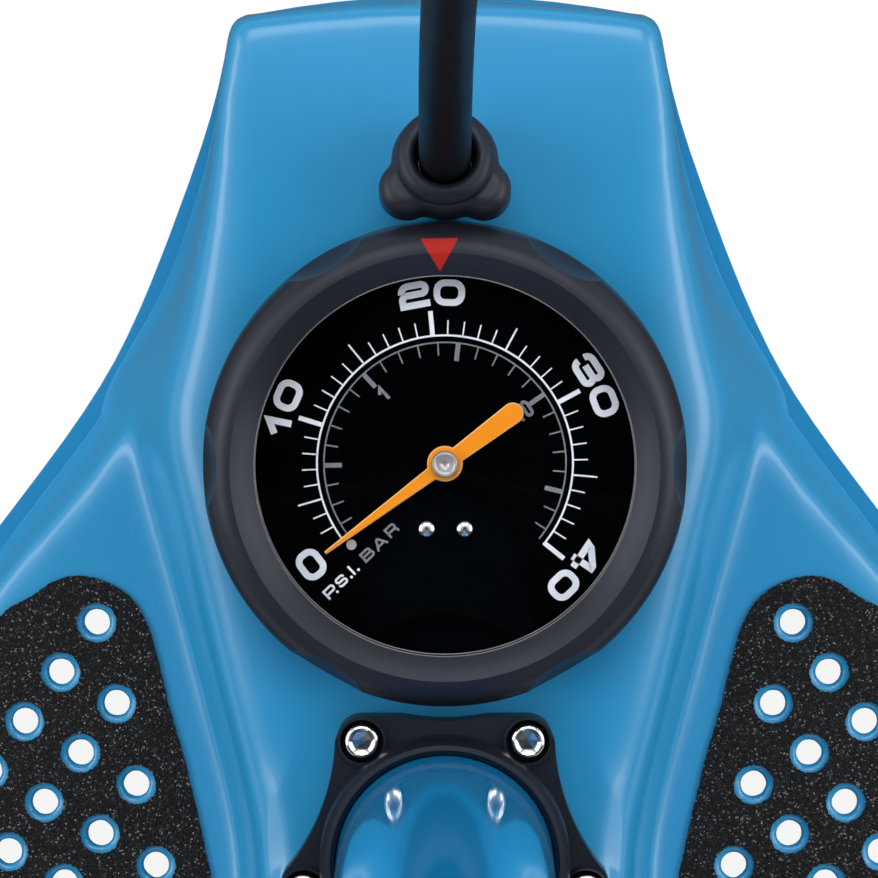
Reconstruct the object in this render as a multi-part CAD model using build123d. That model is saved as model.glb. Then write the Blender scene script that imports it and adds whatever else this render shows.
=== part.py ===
from build123d import *
import os
from math import cos, degrees, hypot, pi, radians, sin, tan

# Floor bike pump. Millimetres, +Z up, +Y towards the nose of the base, +X to the right.
# The model is drawn with the barrel's axis at x = y = 0 and the floor at z = 0. write() then
# moves it so that the origin is the centre of the base's footprint.

# ---- driving dimensions -------------------------------------------------------------------
BASE_FRONT = 159.5          # nose of the base, in front of the barrel's axis
BASE_BACK = -72.5           # tail of the base
WALL = 2.7                  # thickness of the cast base
FOOT_HEIGHT = 4.0           # the rubber feet hold the casting this far off the floor
LIP_TOP = 6.5               # top of the flange round the casting's lower edge
DECK = 22.0                 # height of the two foot decks at DECK_MIDDLE
DECK_MIDDLE = 72.0
DECK_TILT = 5.0             # the decks fall away outwards
RIDGE = 42.0                # top of the raised middle
SHOULDER = 39.0             # its side walls stand up to here, and slope inwards above
WING_REACH = 27.0           # the wings' flanks are drawn up to here, then cut off along the decks
NOSE_START = 85.0           # from here the top curves down to the nose
NOSE_CURVE = 504.0          # radius of that curve
SHOULDER_ROUND = 2.0        # radius where wall and shoulder meet
TOP_ROUND = 3.0             # radius where shoulder and top meet
TAPE = 0.8                  # grip tape thickness

BARREL_R = 20.25
BARREL_BORE = 18.75
BARREL_LOW = 30.0
BARREL_TOP = 600.0

COLLAR_TOP = 50.0
EAR_REACH = 27.0            # collar screws, from the barrel's axis
EAR_R = 4.6
EAR_ANGLES = (55, 125, -13, 193, 270)
EDGE_R = 40.0               # hollow curve of the collar's edge between two ears
WAIST = 24.8                # from the axis to that edge at its middle
FRONT_WAIST = 25.9          # the same between the two front ears

GAUGE_Y = 74.0
CUP_R = 41.5
CUP_BORE = 39.2
CUP_LOW = 28.0
DIAL_Z = 46.0
DIAL_R = 38.8
LENS_LOW = 51.6
LENS_TOP = 53.6
BEZEL_R = 45.0
BEZEL_BORE = 42.0
BEZEL_WINDOW = 35.5
BEZEL_LOW = 44.0
BEZEL_TOP = 57.0
BEZEL_CREST = 39.8          # radius of the bezel's highest line
BEZEL_INNER = 54.5          # its height at the window
MARKER_LOW = 54.4           # floor of the marker's pocket
MARKER_TURN = 1.4           # the ring is turned this far from straight ahead
SCALLOPS = 6

GEAR_MODULE = 0.5
PINION_TEETH = 12
SECTOR_TEETH = 96           # teeth of the full circle that the sector is cut from
SECTOR_SIDE = 150           # direction from the needle's axis to the sector's pivot, in degrees
NEEDLE_REST = 215.6         # where the needle points at zero
NEEDLE_LENGTH = 27.8
TAIL_LENGTH = 17.7
DIAL_POSTS = [(-3.4, GAUGE_Y - 12.3), (3.7, GAUGE_Y - 12.3)]
STOP_SPOT = (-17.4, GAUGE_Y - 15.2)

HOSE_OD = 9.7
HOSE_TILT = 18.0            # lean of the hose fitting towards the nose
HOSE_EXIT = Vector(0, 131.8, 56)
EXIT_DIR = Vector(0, sin(radians(HOSE_TILT)), cos(radians(HOSE_TILT)))
NUT_R = 9.95                # the nut's round body; heights are measured down from the hose's exit
NUT_LOW = -9.6
NUT_TOP = -2.4
LOBE_ANGLES = (215, 325)
LOBE_REACH = 8.7
LOBE_R = 5.1

ROD_R = 6.0
PISTON_LOW = 54.0
HANDLE_Z = 650.0
HANDLE_HALF = 120.0

CHUCK_X = 52.0              # the docked chuck hangs beside the barrel
CHUCK_Z = 250.0
CHUCK_BORE = 4.1            # takes a 7.7 mm valve stem
CLIP_LOW = 272.0            # the clip that holds the chuck to the barrel
CLIP_TOP = 290.0

FOOT_SPOTS = [(28, 140), (-28, 140), (96, -18), (-96, -18), (0, -52)]
BOSS_SPOTS = [(17, 120), (-17, 120), (17, 30), (-17, 30)]   # the manifold's screws

ORIGIN_Y = (BASE_FRONT + BASE_BACK) / 2

# Right-hand side of each plan outline, from the nose to the tail.
RIM = [(38.2, 155.6), (39.9, 154.7), (40.8, 153.2), (41.5, 150.2), (44.2, 138), (49.5, 122), (55.6, 106),
       (63, 90), (75, 71.7), (92, 49), (109, 22), (121, 0), (125, -18), (118, -36), (98, -48), (68, -57),
       (30, -69)]
WING_FOOT = [(30, 118), (48, 106), (59, 92), (66, 80.5), (72.5, 71.5), (89.5, 48.5), (106.5, 21.5),
             (118.2, 0), (122, -17.5), (115.5, -34.5), (97, -45.4), (67.5, -54.3), (29, -66.2)]
WING_TOP = [(26, 103), (43, 91), (53, 84), (60, 78.2), (67.6, 68.4), (84.3, 48.6), (100.5, 22.5),
            (112, 1.5), (115, -16), (109, -31), (92, -40.5), (64, -49), (28, -60.5)]
SPINE_FOOT = [(36.8, 156), (38.9, 155.2), (40.1, 153.3), (40.9, 150.2), (41.9, 144.6), (44.5, 131),
              (49.4, 114.8), (54.2, 103.5), (58.9, 95.5), (63.7, 87.8), (66.6, 80.4), (66, 74.5), (63.9, 68),
              (58, 50), (51.1, 27), (44.6, -2), (43.4, -12), (43, -32), (39, -60)]
SPINE_WALL = [(37, 156.9), (39.3, 156.1), (40.5, 154), (40.9, 150.6), (41.9, 144.9), (43.4, 131),
              (45.6, 116.5), (47.6, 104.5), (50.2, 92), (51.8, 85), (52.1, 80.5), (51.6, 76), (50.4, 69.5),
              (46.4, 52), (41, 28.6), (34.8, -0.9), (34.6, -12), (35.4, -32), (33, -55)]
SPINE_EDGE = [(33.6, 153.6), (35.4, 152.8), (36.4, 150.8), (36.8, 148), (37.3, 143.4), (38, 130.2),
              (39.4, 115.6), (41.2, 103.4), (43.8, 91), (45.3, 84.4), (45.6, 80.4), (45.2, 76.8), (44, 71),
              (40, 53.4), (34.7, 30), (28.6, 0.6), (28, -12), (29, -32), (27, -51)]
TAPE_EDGE = [(57, 46.5), (65.3, 50.6), (73.2, 48.2), (84.4, 40.4), (97, 19), (105, 0), (107, -14),
             (102, -25), (88, -32.5), (64, -40), (42, -45.5), (40.5, -28), (44.2, -7.1), (48.9, 9.7),
             (53, 28.8), (55.3, 38.3)]
HOLE_START = (65.9, 41.6)   # first hole of the deck's slanted lattice, and its two steps
HOLE_STEP_A = (-3.7, -15.4)
HOLE_STEP_B = (6.9, -9.5)
HOLE_R = 2.5
TAPE_HOLE_R = 3.75
HOLE_MARGIN = 6.0           # from a hole's centre to the tape's edge

# The hose's route: out of the nut, up in front of the pump, over its right side, down to the chuck.
HOSE_ROUTE = [HOSE_EXIT - EXIT_DIR * 5,
              (0, 160, 143), (3, 184, 235), (12, 194, 330), (36, 191, 420), (72, 172, 500),
              (106, 132, 548), (121, 80, 553), (119, 32, 512), (98, 6, 440), (CHUCK_X, 0, 378),
              (CHUCK_X, 0, 314)]


# ---- helpers ------------------------------------------------------------------------------
def cyl(radius, low, high, at=(0, 0)):
    """Upright cylinder between two heights."""
    stand = (Align.CENTER, Align.CENTER, Align.MIN)
    return Pos(at[0], at[1], low) * Cylinder(radius, high - low, align=stand)


def ring(outer, inner, low, high, at=(0, 0)):
    """Upright tube between two heights."""
    return cyl(outer, low, high, at) - cyl(inner, low - 1, high + 1, at)


def block(xs, ys, zs):
    """Box between pairs of coordinates."""
    size = [b - a for a, b in (xs, ys, zs)]
    middle = [(a + b) / 2 for a, b in (xs, ys, zs)]
    return Pos(*middle) * Box(*size)


def turned(profile, at=(0, 0)):
    """Solid of revolution about a vertical axis from (radius, height) points."""
    face = Face(Wire.make_polygon([(r, 0, z) for r, z in profile], close=True))
    return Pos(at[0], at[1], 0) * revolve(face, Axis.Z, 360)


def polar(radius, angle, centre=(0, 0)):
    """Point at a radius and an angle in degrees about a centre."""
    return (centre[0] + radius * cos(radians(angle)), centre[1] + radius * sin(radians(angle)))


def plate(points, low, high, corner=0):
    """Flat plate of a polygon's outline, with rounded corners."""
    face = Face(Wire.make_polygon([(x, y, low) for x, y in points], close=True))
    if corner:
        face = face.fillet_2d(corner, face.vertices())
    return extrude(face, high - low, dir=(0, 0, 1))


def strap(ends, radius, low, high):
    """Flat bar with round ends between two points."""
    (ax, ay), (bx, by) = ends
    length = hypot(bx - ax, by - ay)
    nx, ny = -(by - ay) / length * radius, (bx - ax) / length * radius
    corners = [(ax + nx, ay + ny), (bx + nx, by + ny), (bx - nx, by - ny), (ax - nx, ay - ny)]
    return plate(corners, low, high) + cyl(radius, low, high, ends[0]) + cyl(radius, low, high, ends[1])


def socket_screw(at, head_low, head_r, head_height, shank_r, shank_length, down=True):
    """Socket-head screw; its head's underside is at head_low and its shank points down or up."""
    key = RegularPolygon(head_r * 0.58, 6)
    if down:
        body = cyl(head_r, head_low, head_low + head_height) + cyl(shank_r, head_low - shank_length, head_low)
        body = fillet(body.edges().filter_by(GeomType.CIRCLE).sort_by(Axis.Z)[-1:], head_height * 0.2)
        body -= extrude(Pos(0, 0, head_low + head_height * 0.45) * key, head_height)
        return Pos(at[0], at[1], 0) * body
    body = cyl(head_r, head_low - head_height, head_low) + cyl(shank_r, head_low, head_low + shank_length)
    body -= extrude(Pos(0, 0, head_low - head_height * 1.5) * key, head_height)
    return Pos(at[0], at[1], 0) * body


def write(node, shape):
    """Moves a sub-part so that the footprint's centre is the origin, and writes its STEP."""
    shape = Pos(0, -ORIGIN_Y, 0) * shape
    shape.label = node
    export_step(shape, f"parts/{node}.step")


# ---- base casting -------------------------------------------------------------------------
def inset(side, amount):
    """Side points moved inwards, square to the line through their neighbours."""
    moved = []
    for i, (x, y) in enumerate(side):
        ax, ay = side[max(i - 1, 0)]
        bx, by = side[min(i + 1, len(side) - 1)]
        length = hypot(bx - ax, by - ay)
        moved.append((x + (by - ay) / length * amount, y - (bx - ax) / length * amount))
    moved[0] = (side[0][0] - amount, side[0][1] - amount)
    moved[-1] = (side[-1][0] - amount, side[-1][1] + amount)
    return moved


def outline(side, z, crown=5.5, tail=3.5):
    """Plan outline at one height: the side, its mirror image and shallow arcs at both ends."""
    first, last = side[0], side[-1]
    right = Edge.make_spline([(x, y, z) for x, y in side])
    left = Edge.make_spline([(-x, y, z) for x, y in reversed(side)])
    front = Edge.make_three_point_arc((-first[0], first[1], z), (0, first[1] + crown, z), (*first, z))
    back = Edge.make_three_point_arc((*last, z), (0, last[1] - tail, z), (-last[0], last[1], z))
    return Face(Wire([front, right, back, left]))


def rise(foot, top, low, high, amount=0):
    """Ruled solid between two outlines, both moved inwards by an amount."""
    return loft([outline(inset(foot, amount), low), outline(inset(top, amount), high)], ruled=True)


def on_deck(shape, side=1):
    """Places a shape made round z = 0 on a foot deck's slope, the right one or (side -1) the left."""
    placed = Pos(DECK_MIDDLE, 0, DECK) * Rot(0, DECK_TILT, 0) * Pos(-DECK_MIDDLE, 0, 0) * shape
    return placed if side > 0 else mirror(placed, Plane.YZ)


def wing_block(amount=0):
    """Both wings in one: flanks up past the decks, cut off at the decks' slopes."""
    share = (WING_REACH - FOOT_HEIGHT) / (DECK - FOOT_HEIGHT)
    crest = [(fx + (tx - fx) * share, fy + (ty - fy) * share)
             for (fx, fy), (tx, ty) in zip(WING_FOOT, WING_TOP)]
    solid = rise(WING_FOOT, crest, FOOT_HEIGHT - (1 if amount else 0), WING_REACH, amount)
    above = block((-60, 220), (-250, 250), (-amount, 60))
    for side in (1, -1):
        solid -= on_deck(above, side)
    if amount:
        return solid
    decks = [f for f in solid.faces() if f.normal_at().Z > 0.9 and abs(f.normal_at().X) > 0.03]
    return fillet([f.edges().sort_by(SortBy.LENGTH)[-1] for f in decks], 3.0)


def nose_cut(amount=0):
    """What lies above the middle's top, where it curves down to the nose."""
    side, height, end = -80, RIDGE - amount, BASE_FRONT + 10
    half = (end + NOSE_START) / 2
    dip, drop = [(y - NOSE_START) ** 2 / (2 * NOSE_CURVE) for y in (half, end)]
    start = (side, NOSE_START, height)
    arc = Edge.make_three_point_arc(start, (side, half, height - dip), (side, end, height - drop))
    rest = Wire.make_polygon([arc @ 1, (side, end, height + 20), (side, NOSE_START, height + 20), start],
                             close=False)
    return extrude(Face(Wire([arc] + rest.edges())), -2 * side, dir=(1, 0, 0))


def spine_block(amount=0):
    """The raised middle: steep walls, a sloping shoulder all round, and a top that dips to the nose."""
    low = FOOT_HEIGHT - (1 if amount else 0)
    heights = (low, SHOULDER - amount * 0.6, RIDGE - amount)
    sides = [inset(side[3:], amount) if amount else side for side in (SPINE_FOOT, SPINE_WALL, SPINE_EDGE)]
    rings = [outline(side, z, 5 if amount else 2.6) for side, z in zip(sides, heights)]
    solid = loft(rings[:2], ruled=True) + loft(rings[1:], ruled=True)
    if amount:
        return solid - nose_cut(amount)
    solid -= nose_cut()
    edges = {e for f in solid.faces() if f.normal_at().Z > 0.9 for e in f.edges()}
    seam = [e for e in edges if abs(e.center().Y - NOSE_START) < 0.5 and abs(e.tangent_at(0.5).X) > 0.99]
    solid = fillet([e for e in edges if e not in seam], TOP_ROUND)
    return fillet([e for e in solid.edges() if abs(e.center().Z - SHOULDER) < 0.01], SHOULDER_ROUND)


def deck_holes():
    """Centres of the deck's holes on the right-hand side, kept clear of the tape's edge."""
    zone = Face(Wire.make_polygon([(x, y, 0) for x, y in TAPE_EDGE], close=True))
    rim = zone.outer_wire()
    centres = []
    for a in range(-9, 9):
        for b in range(-9, 9):
            x = HOLE_START[0] + a * HOLE_STEP_A[0] + b * HOLE_STEP_B[0]
            y = HOLE_START[1] + a * HOLE_STEP_A[1] + b * HOLE_STEP_B[1]
            if zone.is_inside((x, y, 0)) and rim.distance_to(Vector(x, y, 0)) > HOLE_MARGIN:
                centres.append((x, y))
    return centres


def tilted(shape):
    """Places a shape made along +Z from the origin on the hose fitting's leaning axis, top at the exit."""
    return Pos(HOSE_EXIT.X, HOSE_EXIT.Y, HOSE_EXIT.Z) * Rot(-HOSE_TILT, 0, 0) * shape


def base_casting(holes):
    """Hollow casting: flange, two foot decks, raised middle, bosses below and seats above."""
    lip = extrude(outline(RIM, FOOT_HEIGHT, 3.9), LIP_TOP - FOOT_HEIGHT, dir=(0, 0, 1))
    body = spine_block() + wing_block() + lip
    body -= wing_block(WALL) + spine_block(WALL)
    for x, y in FOOT_SPOTS:
        top = DECK - 3.5 if abs(x) > 40 else RIDGE - (2.5 if y < 0 else 5.5)
        body += cyl(8.5, FOOT_HEIGHT, top, (x, y))
        body -= cyl(3.0, 0, FOOT_HEIGHT + 6, (x, y))
    for spot in BOSS_SPOTS:
        body += cyl(4.5, 26, RIDGE - 4, spot)
        body -= cyl(2.0, 20, 36, spot)
    body += cyl(32, BARREL_LOW, RIDGE - 9)
    for angle in EAR_ANGLES:
        body += cyl(EAR_R + 0.6, BARREL_LOW, RIDGE, polar(EAR_REACH, angle))
    body += tilted(cyl(8.0, -26, -9.0)) - block((-20, 20), (100, 160), (0, RIDGE - 4.5))
    body -= cyl(BARREL_R + 0.05, 0, RIDGE + 5)
    body -= cyl(CUP_R + 0.3, 0, RIDGE + 5, (0, GAUGE_Y))
    body -= tilted(cyl(6.0, -60, 0))
    for angle in EAR_ANGLES:
        body -= cyl(2.0, BARREL_LOW - 5, RIDGE + 5, polar(EAR_REACH, angle))
    drills = Part() + [cyl(HOLE_R, -8, 5, spot) for spot in holes]
    return body - on_deck(drills, 1) - on_deck(drills, -1)


def grip_tape(holes, side):
    """Coarse tape on one foot deck, punched wider than the holes below it."""
    tape = plate(TAPE_EDGE, 0, TAPE, corner=4.5)
    for spot in holes:
        tape -= cyl(TAPE_HOLE_R, -1, 2, spot)
    return on_deck(tape, side)


def rubber_feet():
    """Pads under the casting, each with a stem pushed into its boss."""
    pads = []
    for spot in FOOT_SPOTS:
        pad = cyl(8, 0, FOOT_HEIGHT, spot) + cyl(3.0, FOOT_HEIGHT, FOOT_HEIGHT + 6, spot)
        pads.append(fillet(pad.edges().sort_by(Axis.Z)[:1], 1.2))
    return Compound(pads)


# ---- barrel -------------------------------------------------------------------------------
def barrel_collar():
    """Clamp ring on the base's top, with an ear for each screw and a rounded ring at the barrel."""
    circles = Sketch() + [Pos(*polar(EAR_REACH, a)) * Circle(EAR_R) for a in EAR_ANGLES]
    flange = extrude(Pos(0, 0, RIDGE) * make_hull(circles.edges()), 6.0)
    order = sorted(a % 360 for a in EAR_ANGLES)
    for i, angle in enumerate(order):
        middle = angle + (order[(i + 1) % len(order)] - angle) % 360 / 2
        waist = FRONT_WAIST if middle == 90 else WAIST
        flange -= cyl(EDGE_R, RIDGE - 1, COLLAR_TOP, polar(waist + EDGE_R, middle))
    ears = [cyl(EAR_R, RIDGE, COLLAR_TOP - 1, polar(EAR_REACH, a)) for a in EAR_ANGLES]
    body = flange + ears
    body = fillet(body.faces().sort_by(Axis.Z)[-1].edges(), 0.8)
    crown = turned([(BARREL_R, RIDGE), (23.4, RIDGE), (23.4, 53), (23.1, 55), (22.3, 56.4), (21.4, 56.6),
                    (20.6, 56), (BARREL_R, 55)])
    body += crown
    body -= cyl(BARREL_R, RIDGE - 1, 60)
    for angle in EAR_ANGLES:
        at = polar(EAR_REACH, angle)
        body -= cyl(4.05, RIDGE + 3.4, 60, at) + cyl(2.0, RIDGE - 1, 60, at)
    return body


def collar_screws():
    """Socket screws in the collar's counterbores."""
    return Compound([socket_screw(polar(EAR_REACH, a), RIDGE + 3.4, 3.5, 4.0, 1.95, 14) for a in EAR_ANGLES])


def foot_plug():
    """Plug in the barrel's lower end: valve bore, seal groove and flange on the manifold."""
    body = cyl(BARREL_BORE, 26, 48) + cyl(25, 26, BARREL_LOW)
    body -= ring(BARREL_BORE + 1, 16.8, 38, 41)
    body -= cyl(5.0, 30, 50) + cyl(2.5, 20, 40)
    return body


def check_valve():
    """Ball, spring and its perforated retainer in the foot plug's bore."""
    ball = Pos(0, 0, 32.08) * Sphere(3.2)
    coil = Helix(1.8, 9.0, 2.6, center=(0, 0, 34.6))
    wire = Plane(coil @ 0, z_dir=coil % 0) * Circle(0.25)
    spring = sweep(wire, path=coil)
    retainer = ring(5.0, 1.6, 44, 46)
    return ball, spring, retainer


def barrel_cap():
    """Ribbed cap on the barrel's top, open for the rod."""
    cap = turned([(ROD_R + 0.6, BARREL_TOP), (ROD_R + 0.6, 606), (10, 606), (10, 612), (21, 612), (24, 610.5),
                  (25.5, 607), (25.5, 580), (24.5, 578), (BARREL_R, 578), (BARREL_R, BARREL_TOP)])
    for i in range(24):
        x, y = polar(26.2, i * 15)
        cap -= cyl(1.5, 582, 604, (x, y))
    return cap


def rod_bush():
    """Plastic guide in the barrel's top end that the rod slides in."""
    return ring(BARREL_BORE, ROD_R + 0.05, 576, BARREL_TOP)


# ---- air way ------------------------------------------------------------------------------
def air_manifold():
    """Bar under the casting that joins the barrel, the gauge and the hose."""
    body = block((-9, 9), (-16, 126), (12, 26))
    for x, y in BOSS_SPOTS:
        body += block((min(x, 0), max(x, 0)), (y - 5, y + 5), (20, 26)) + cyl(5, 20, 26, (x, y))
    bore = Pos(0, -16, 18) * Rot(-90, 0, 0) * cyl(2.5, 0, 137)
    plug_bore = Pos(0, -16, 18) * Rot(-90, 0, 0) * cyl(4.0, 0, 8)
    body -= bore + plug_bore
    foot = HOSE_EXIT - EXIT_DIR * 32
    body -= cyl(5.0, 20.5, 30, (0, GAUGE_Y))
    for y in (0, GAUGE_Y, foot.Y):
        body -= cyl(2.1, 18, 30, (0, y))
    for x, y in BOSS_SPOTS:
        body -= cyl(2.05, 10, 30, (x, y))
    return body


def passage_plug():
    """Screw plug that closes the manifold's bore at the tail end."""
    plug = Pos(0, -16, 18) * Rot(-90, 0, 0) * (cyl(4.0, 0, 8) + cyl(5.5, -2.5, 0))
    return plug - Pos(0, -19, 18) * Rot(-90, 0, 0) * extrude(RegularPolygon(2.5, 6), 3)


def manifold_screws():
    """Screws up through the manifold's ears into the casting's bosses."""
    return Compound([socket_screw(spot, 20, 3.5, 4, 1.95, 14, down=False) for spot in BOSS_SPOTS])


# ---- gauge --------------------------------------------------------------------------------
SECTOR_PIVOT = polar((PINION_TEETH + SECTOR_TEETH) * GEAR_MODULE / 2, SECTOR_SIDE, (0, GAUGE_Y))
PILLARS = [(4.6, GAUGE_Y - 4.6), polar(5.2, 205, SECTOR_PIVOT)]


def gauge_housing():
    """Round cup sunk in the base, with a ledge for the dial and a rib that holds the bezel."""
    return turned([(0, CUP_LOW), (CUP_R - 3, CUP_LOW), (CUP_R, CUP_LOW + 3), (CUP_R, 45.2), (42.5, 45.6),
                   (42.5, 46.6), (CUP_R, 47), (CUP_R, 51), (CUP_BORE, 51), (CUP_BORE, DIAL_Z), (37.6, DIAL_Z),
                   (37.6, 44), (CUP_BORE, 42.4), (CUP_BORE, 32), (CUP_BORE - 2, 30), (0, 30)],
                  (0, GAUGE_Y)) - cyl(5.0, 20, 35, (0, GAUGE_Y))


def bezel_face(lift=0.0):
    """Edges of the bezel's profile over its crest, from the rim to the window."""
    rim, crest, inner = [(r, 0, z + lift) for r, z in ((BEZEL_R, 50.5), (BEZEL_CREST, BEZEL_TOP),
                                                      (BEZEL_WINDOW, BEZEL_INNER))]
    outside = Edge.make_three_point_arc(rim, (BEZEL_R - 1.3, 0, BEZEL_TOP - 2.1 + lift), crest)
    inside = Edge.make_three_point_arc(crest, (BEZEL_WINDOW + 2, 0, BEZEL_INNER + 1.35 + lift), inner)
    return [outside, inside]


def bezel_ring(below, lift=0.0):
    """Solid of revolution under the bezel's face; below are the rest of its profile's points."""
    faces = bezel_face(lift)
    points = [faces[1] @ 1] + [(r, 0, z) for r, z in below] + [faces[0] @ 0]
    return Pos(0, GAUGE_Y, 0) * revolve(Face(Wire(faces + Wire.make_polygon(points, close=False).edges())),
                                        Axis.Z, 360)


def gauge_bezel():
    """Turning ring with finger scallops; an inner groove snaps over the housing's rib."""
    body = bezel_ring([(BEZEL_WINDOW, 53.9), (BEZEL_BORE, 53.9), (BEZEL_BORE, 47.3), (42.9, 46.9),
                       (42.9, 45.3), (BEZEL_BORE, 44.9), (BEZEL_BORE, BEZEL_LOW), (44.4, BEZEL_LOW),
                       (BEZEL_R, 45)])
    for i in range(SCALLOPS):
        x, y = polar(BEZEL_R + 16.8, i * 360 / SCALLOPS, (0, GAUGE_Y))
        body -= Pos(x, y, BEZEL_TOP - 0.5) * Sphere(19.6)
    return body - marker_shape(0.0)


def marker_shape(shrink):
    """Triangle inlaid in the bezel's face, pointing at the dial."""
    half, wide, point = 3.5 - shrink, GAUGE_Y + 42.4 - shrink, GAUGE_Y + 36.2 + shrink * 2
    face = Face(Wire.make_polygon([(-half, wide, 0), (half, wide, 0), (0, point, 0)], close=True))
    turn = Pos(0, GAUGE_Y, 0) * Rot(0, 0, MARKER_TURN) * Pos(0, -GAUGE_Y, 0)
    return turn * extrude(Pos(0, 0, MARKER_LOW) * face, 4, dir=(0, 0, 1))


def bezel_marker():
    """Inlay that follows the bezel's face."""
    return bezel_ring([(BEZEL_WINDOW, 46), (BEZEL_R, 46)], 0.06) & marker_shape(0.02)


def gauge_socket():
    """Brass block: stem in the manifold, bar to the Bourdon tube's root and seat for the movement."""
    y = GAUGE_Y
    body = cyl(5.0, 20.5, 30, (0, y)) + block((-6, 6), (y - 36.4, y + 6), (30, 36.5))
    body += block((-6, 6), (y - 6, y + 6), (36.5, 38.2))
    body -= cyl(1.5, 33, 40, (0, y)) + cyl(1.5, 15, 33, (0, y))
    body -= block((-7, 7), (y - 34.7, y - 32.3), (33, 40))
    return body


def bourdon_tube():
    """Flat C-shaped spring tube round the movement, with a tab at its free end."""
    centre = (0, GAUGE_Y)
    arc = Edge.make_circle(33.5, Plane((0, GAUGE_Y, 35.5)), start_angle=-98, end_angle=115)
    section = Plane(arc @ 0, x_dir=(0, 0, 1), z_dir=arc % 0) * RectangleRounded(4.6, 2.0, 0.9)
    tube = sweep(section, path=Wire([arc]))
    tip = polar(33.5, 113.5, centre)
    tab = polar(31.2, 113.5, centre)
    return tube + strap((tip, tab), 1.0, 37.0, 41.0)


def movement_plates():
    """Two bearing plates on pillars, and the dial posts on the upper one."""
    centre = (0, GAUGE_Y)
    body = strap((centre, SECTOR_PIVOT), 7.2, 38.2, 39.2) + strap((centre, SECTOR_PIVOT), 7.2, 43.4, 44.4)
    for spot in PILLARS:
        body += cyl(1.2, 39.2, 43.4, spot)
    for spot in DIAL_POSTS:
        body += strap((centre, spot), 2.4, 43.4, 44.4) + cyl(2.0, 44.0, DIAL_Z, spot)
    body -= cyl(0.95, 35, 50, centre) + cyl(1.05, 35, 50, SECTOR_PIVOT)
    for spot in DIAL_POSTS:
        body -= cyl(0.8, 43, DIAL_Z, spot)
    return body


def gear_points(teeth, first, count, root, tip, half_root, half_tip, centre, start, turn=1):
    """Outline points of trapezoid teeth; half widths are in millimetres, angles in degrees."""
    points = []
    for k in range(first, first + count):
        angle = start + turn * k * 360 / teeth
        for radius, half in ((root, -half_root), (tip, -half_tip), (tip, half_tip), (root, half_root)):
            points.append(polar(radius, angle + degrees(half / radius), centre))
    return points


def pinion_spindle():
    """Twelve-tooth pinion on the needle's spindle."""
    centre = (0, GAUGE_Y)
    half_pitch = 180 / PINION_TEETH
    teeth = gear_points(PINION_TEETH, 0, PINION_TEETH, 2.35, 3.36, 0.34, 0.17, centre,
                        SECTOR_SIDE + half_pitch)
    return plate(teeth, 39.6, 41.4) + cyl(0.9, 36.8, 50.0, centre)


def sector_gear():
    """Toothed sector with its hub and the short tail that the link pulls."""
    pitch = 360 / SECTOR_TEETH
    facing = SECTOR_SIDE + 180
    first, count = -11, 14
    points = gear_points(SECTOR_TEETH, first, count, 23.3, 24.3, 0.42, 0.2, SECTOR_PIVOT, facing)
    low, high = facing + (first - 0.5) * pitch, facing + (first + count - 0.5) * pitch
    ends = [polar(23.3, angle, SECTOR_PIVOT) for angle in (low, high)]
    blade = plate([SECTOR_PIVOT, ends[0]] + points + [ends[1]], 40, 41)
    middle = (low + high) / 2
    half = (high - low) / 2 - 6
    window = [polar(r, middle + s * half, SECTOR_PIVOT)
              for r, s in ((8, -0.6), (20.5, -1), (20.9, 0), (20.5, 1), (8, 0.6))]
    blade -= plate(window, 39, 42, corner=0.8)
    tail = polar(6.0, 90, SECTOR_PIVOT)
    body = blade + cyl(2.3, 40, 41, SECTOR_PIVOT) + strap((SECTOR_PIVOT, tail), 1.3, 40, 41)
    body += cyl(0.6, 41, 42.4, tail)
    return body - cyl(1.0, 35, 45, SECTOR_PIVOT)


def sector_shaft():
    """Shaft that the sector is pressed on."""
    return cyl(1.0, 37.6, 45.0, SECTOR_PIVOT)


def movement_link():
    """Link from the sector's tail towards the Bourdon tube's tip."""
    tail = polar(6.0, 90, SECTOR_PIVOT)
    tip = polar(31.2, 113.5, (0, GAUGE_Y))
    return strap((tail, tip), 1.2, 41.35, 42.0) - cyl(0.65, 41, 43, tail) - cyl(0.6, 41, 43, tip)


def dial_plate():
    """Dial disc with holes for the spindle, its screws and the stop pin."""
    dial = cyl(DIAL_R, DIAL_Z, DIAL_Z + 0.8, (0, GAUGE_Y)) - cyl(2.2, DIAL_Z - 1, DIAL_Z + 2, (0, GAUGE_Y))
    for spot in DIAL_POSTS:
        dial -= cyl(0.9, DIAL_Z - 1, DIAL_Z + 2, spot)
    return dial - cyl(0.7, DIAL_Z - 1, DIAL_Z + 2, STOP_SPOT)


def dial_screws():
    """Domed screws that hold the dial on its posts."""
    screws = []
    for spot in DIAL_POSTS:
        dome = Pos(spot[0], spot[1], DIAL_Z + 0.8) * (Sphere(1.75) & block((-3, 3), (-3, 3), (0, 1.2)))
        screws.append(dome + cyl(0.8, DIAL_Z - 1.9, DIAL_Z + 0.9, spot))
    return Compound(screws)


def stop_pin():
    """Pin that the needle rests beside at zero."""
    return cyl(0.7, DIAL_Z, DIAL_Z + 0.8, STOP_SPOT) + cyl(0.95, DIAL_Z + 0.8, DIAL_Z + 1.6, STOP_SPOT)


def needle():
    """Tapered needle with a broad round tail."""
    centre = (0, GAUGE_Y)
    tip = polar(NEEDLE_LENGTH, NEEDLE_REST, centre)
    tail = polar(TAIL_LENGTH - 2.0, NEEDLE_REST + 180, centre)
    side = NEEDLE_REST + 90
    blade = plate([polar(0.3, side, tip), polar(1.4, side, centre), polar(2.0, side, tail),
                   polar(-2.0, side, tail), polar(-1.4, side, centre), polar(-0.3, side, tip)], 48.0, 48.8)
    body = blade + cyl(3.3, 47.4, 48.8, centre) + cyl(2.0, 48.0, 48.8, tail)
    return body - cyl(0.9, 40, 50, centre)


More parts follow.
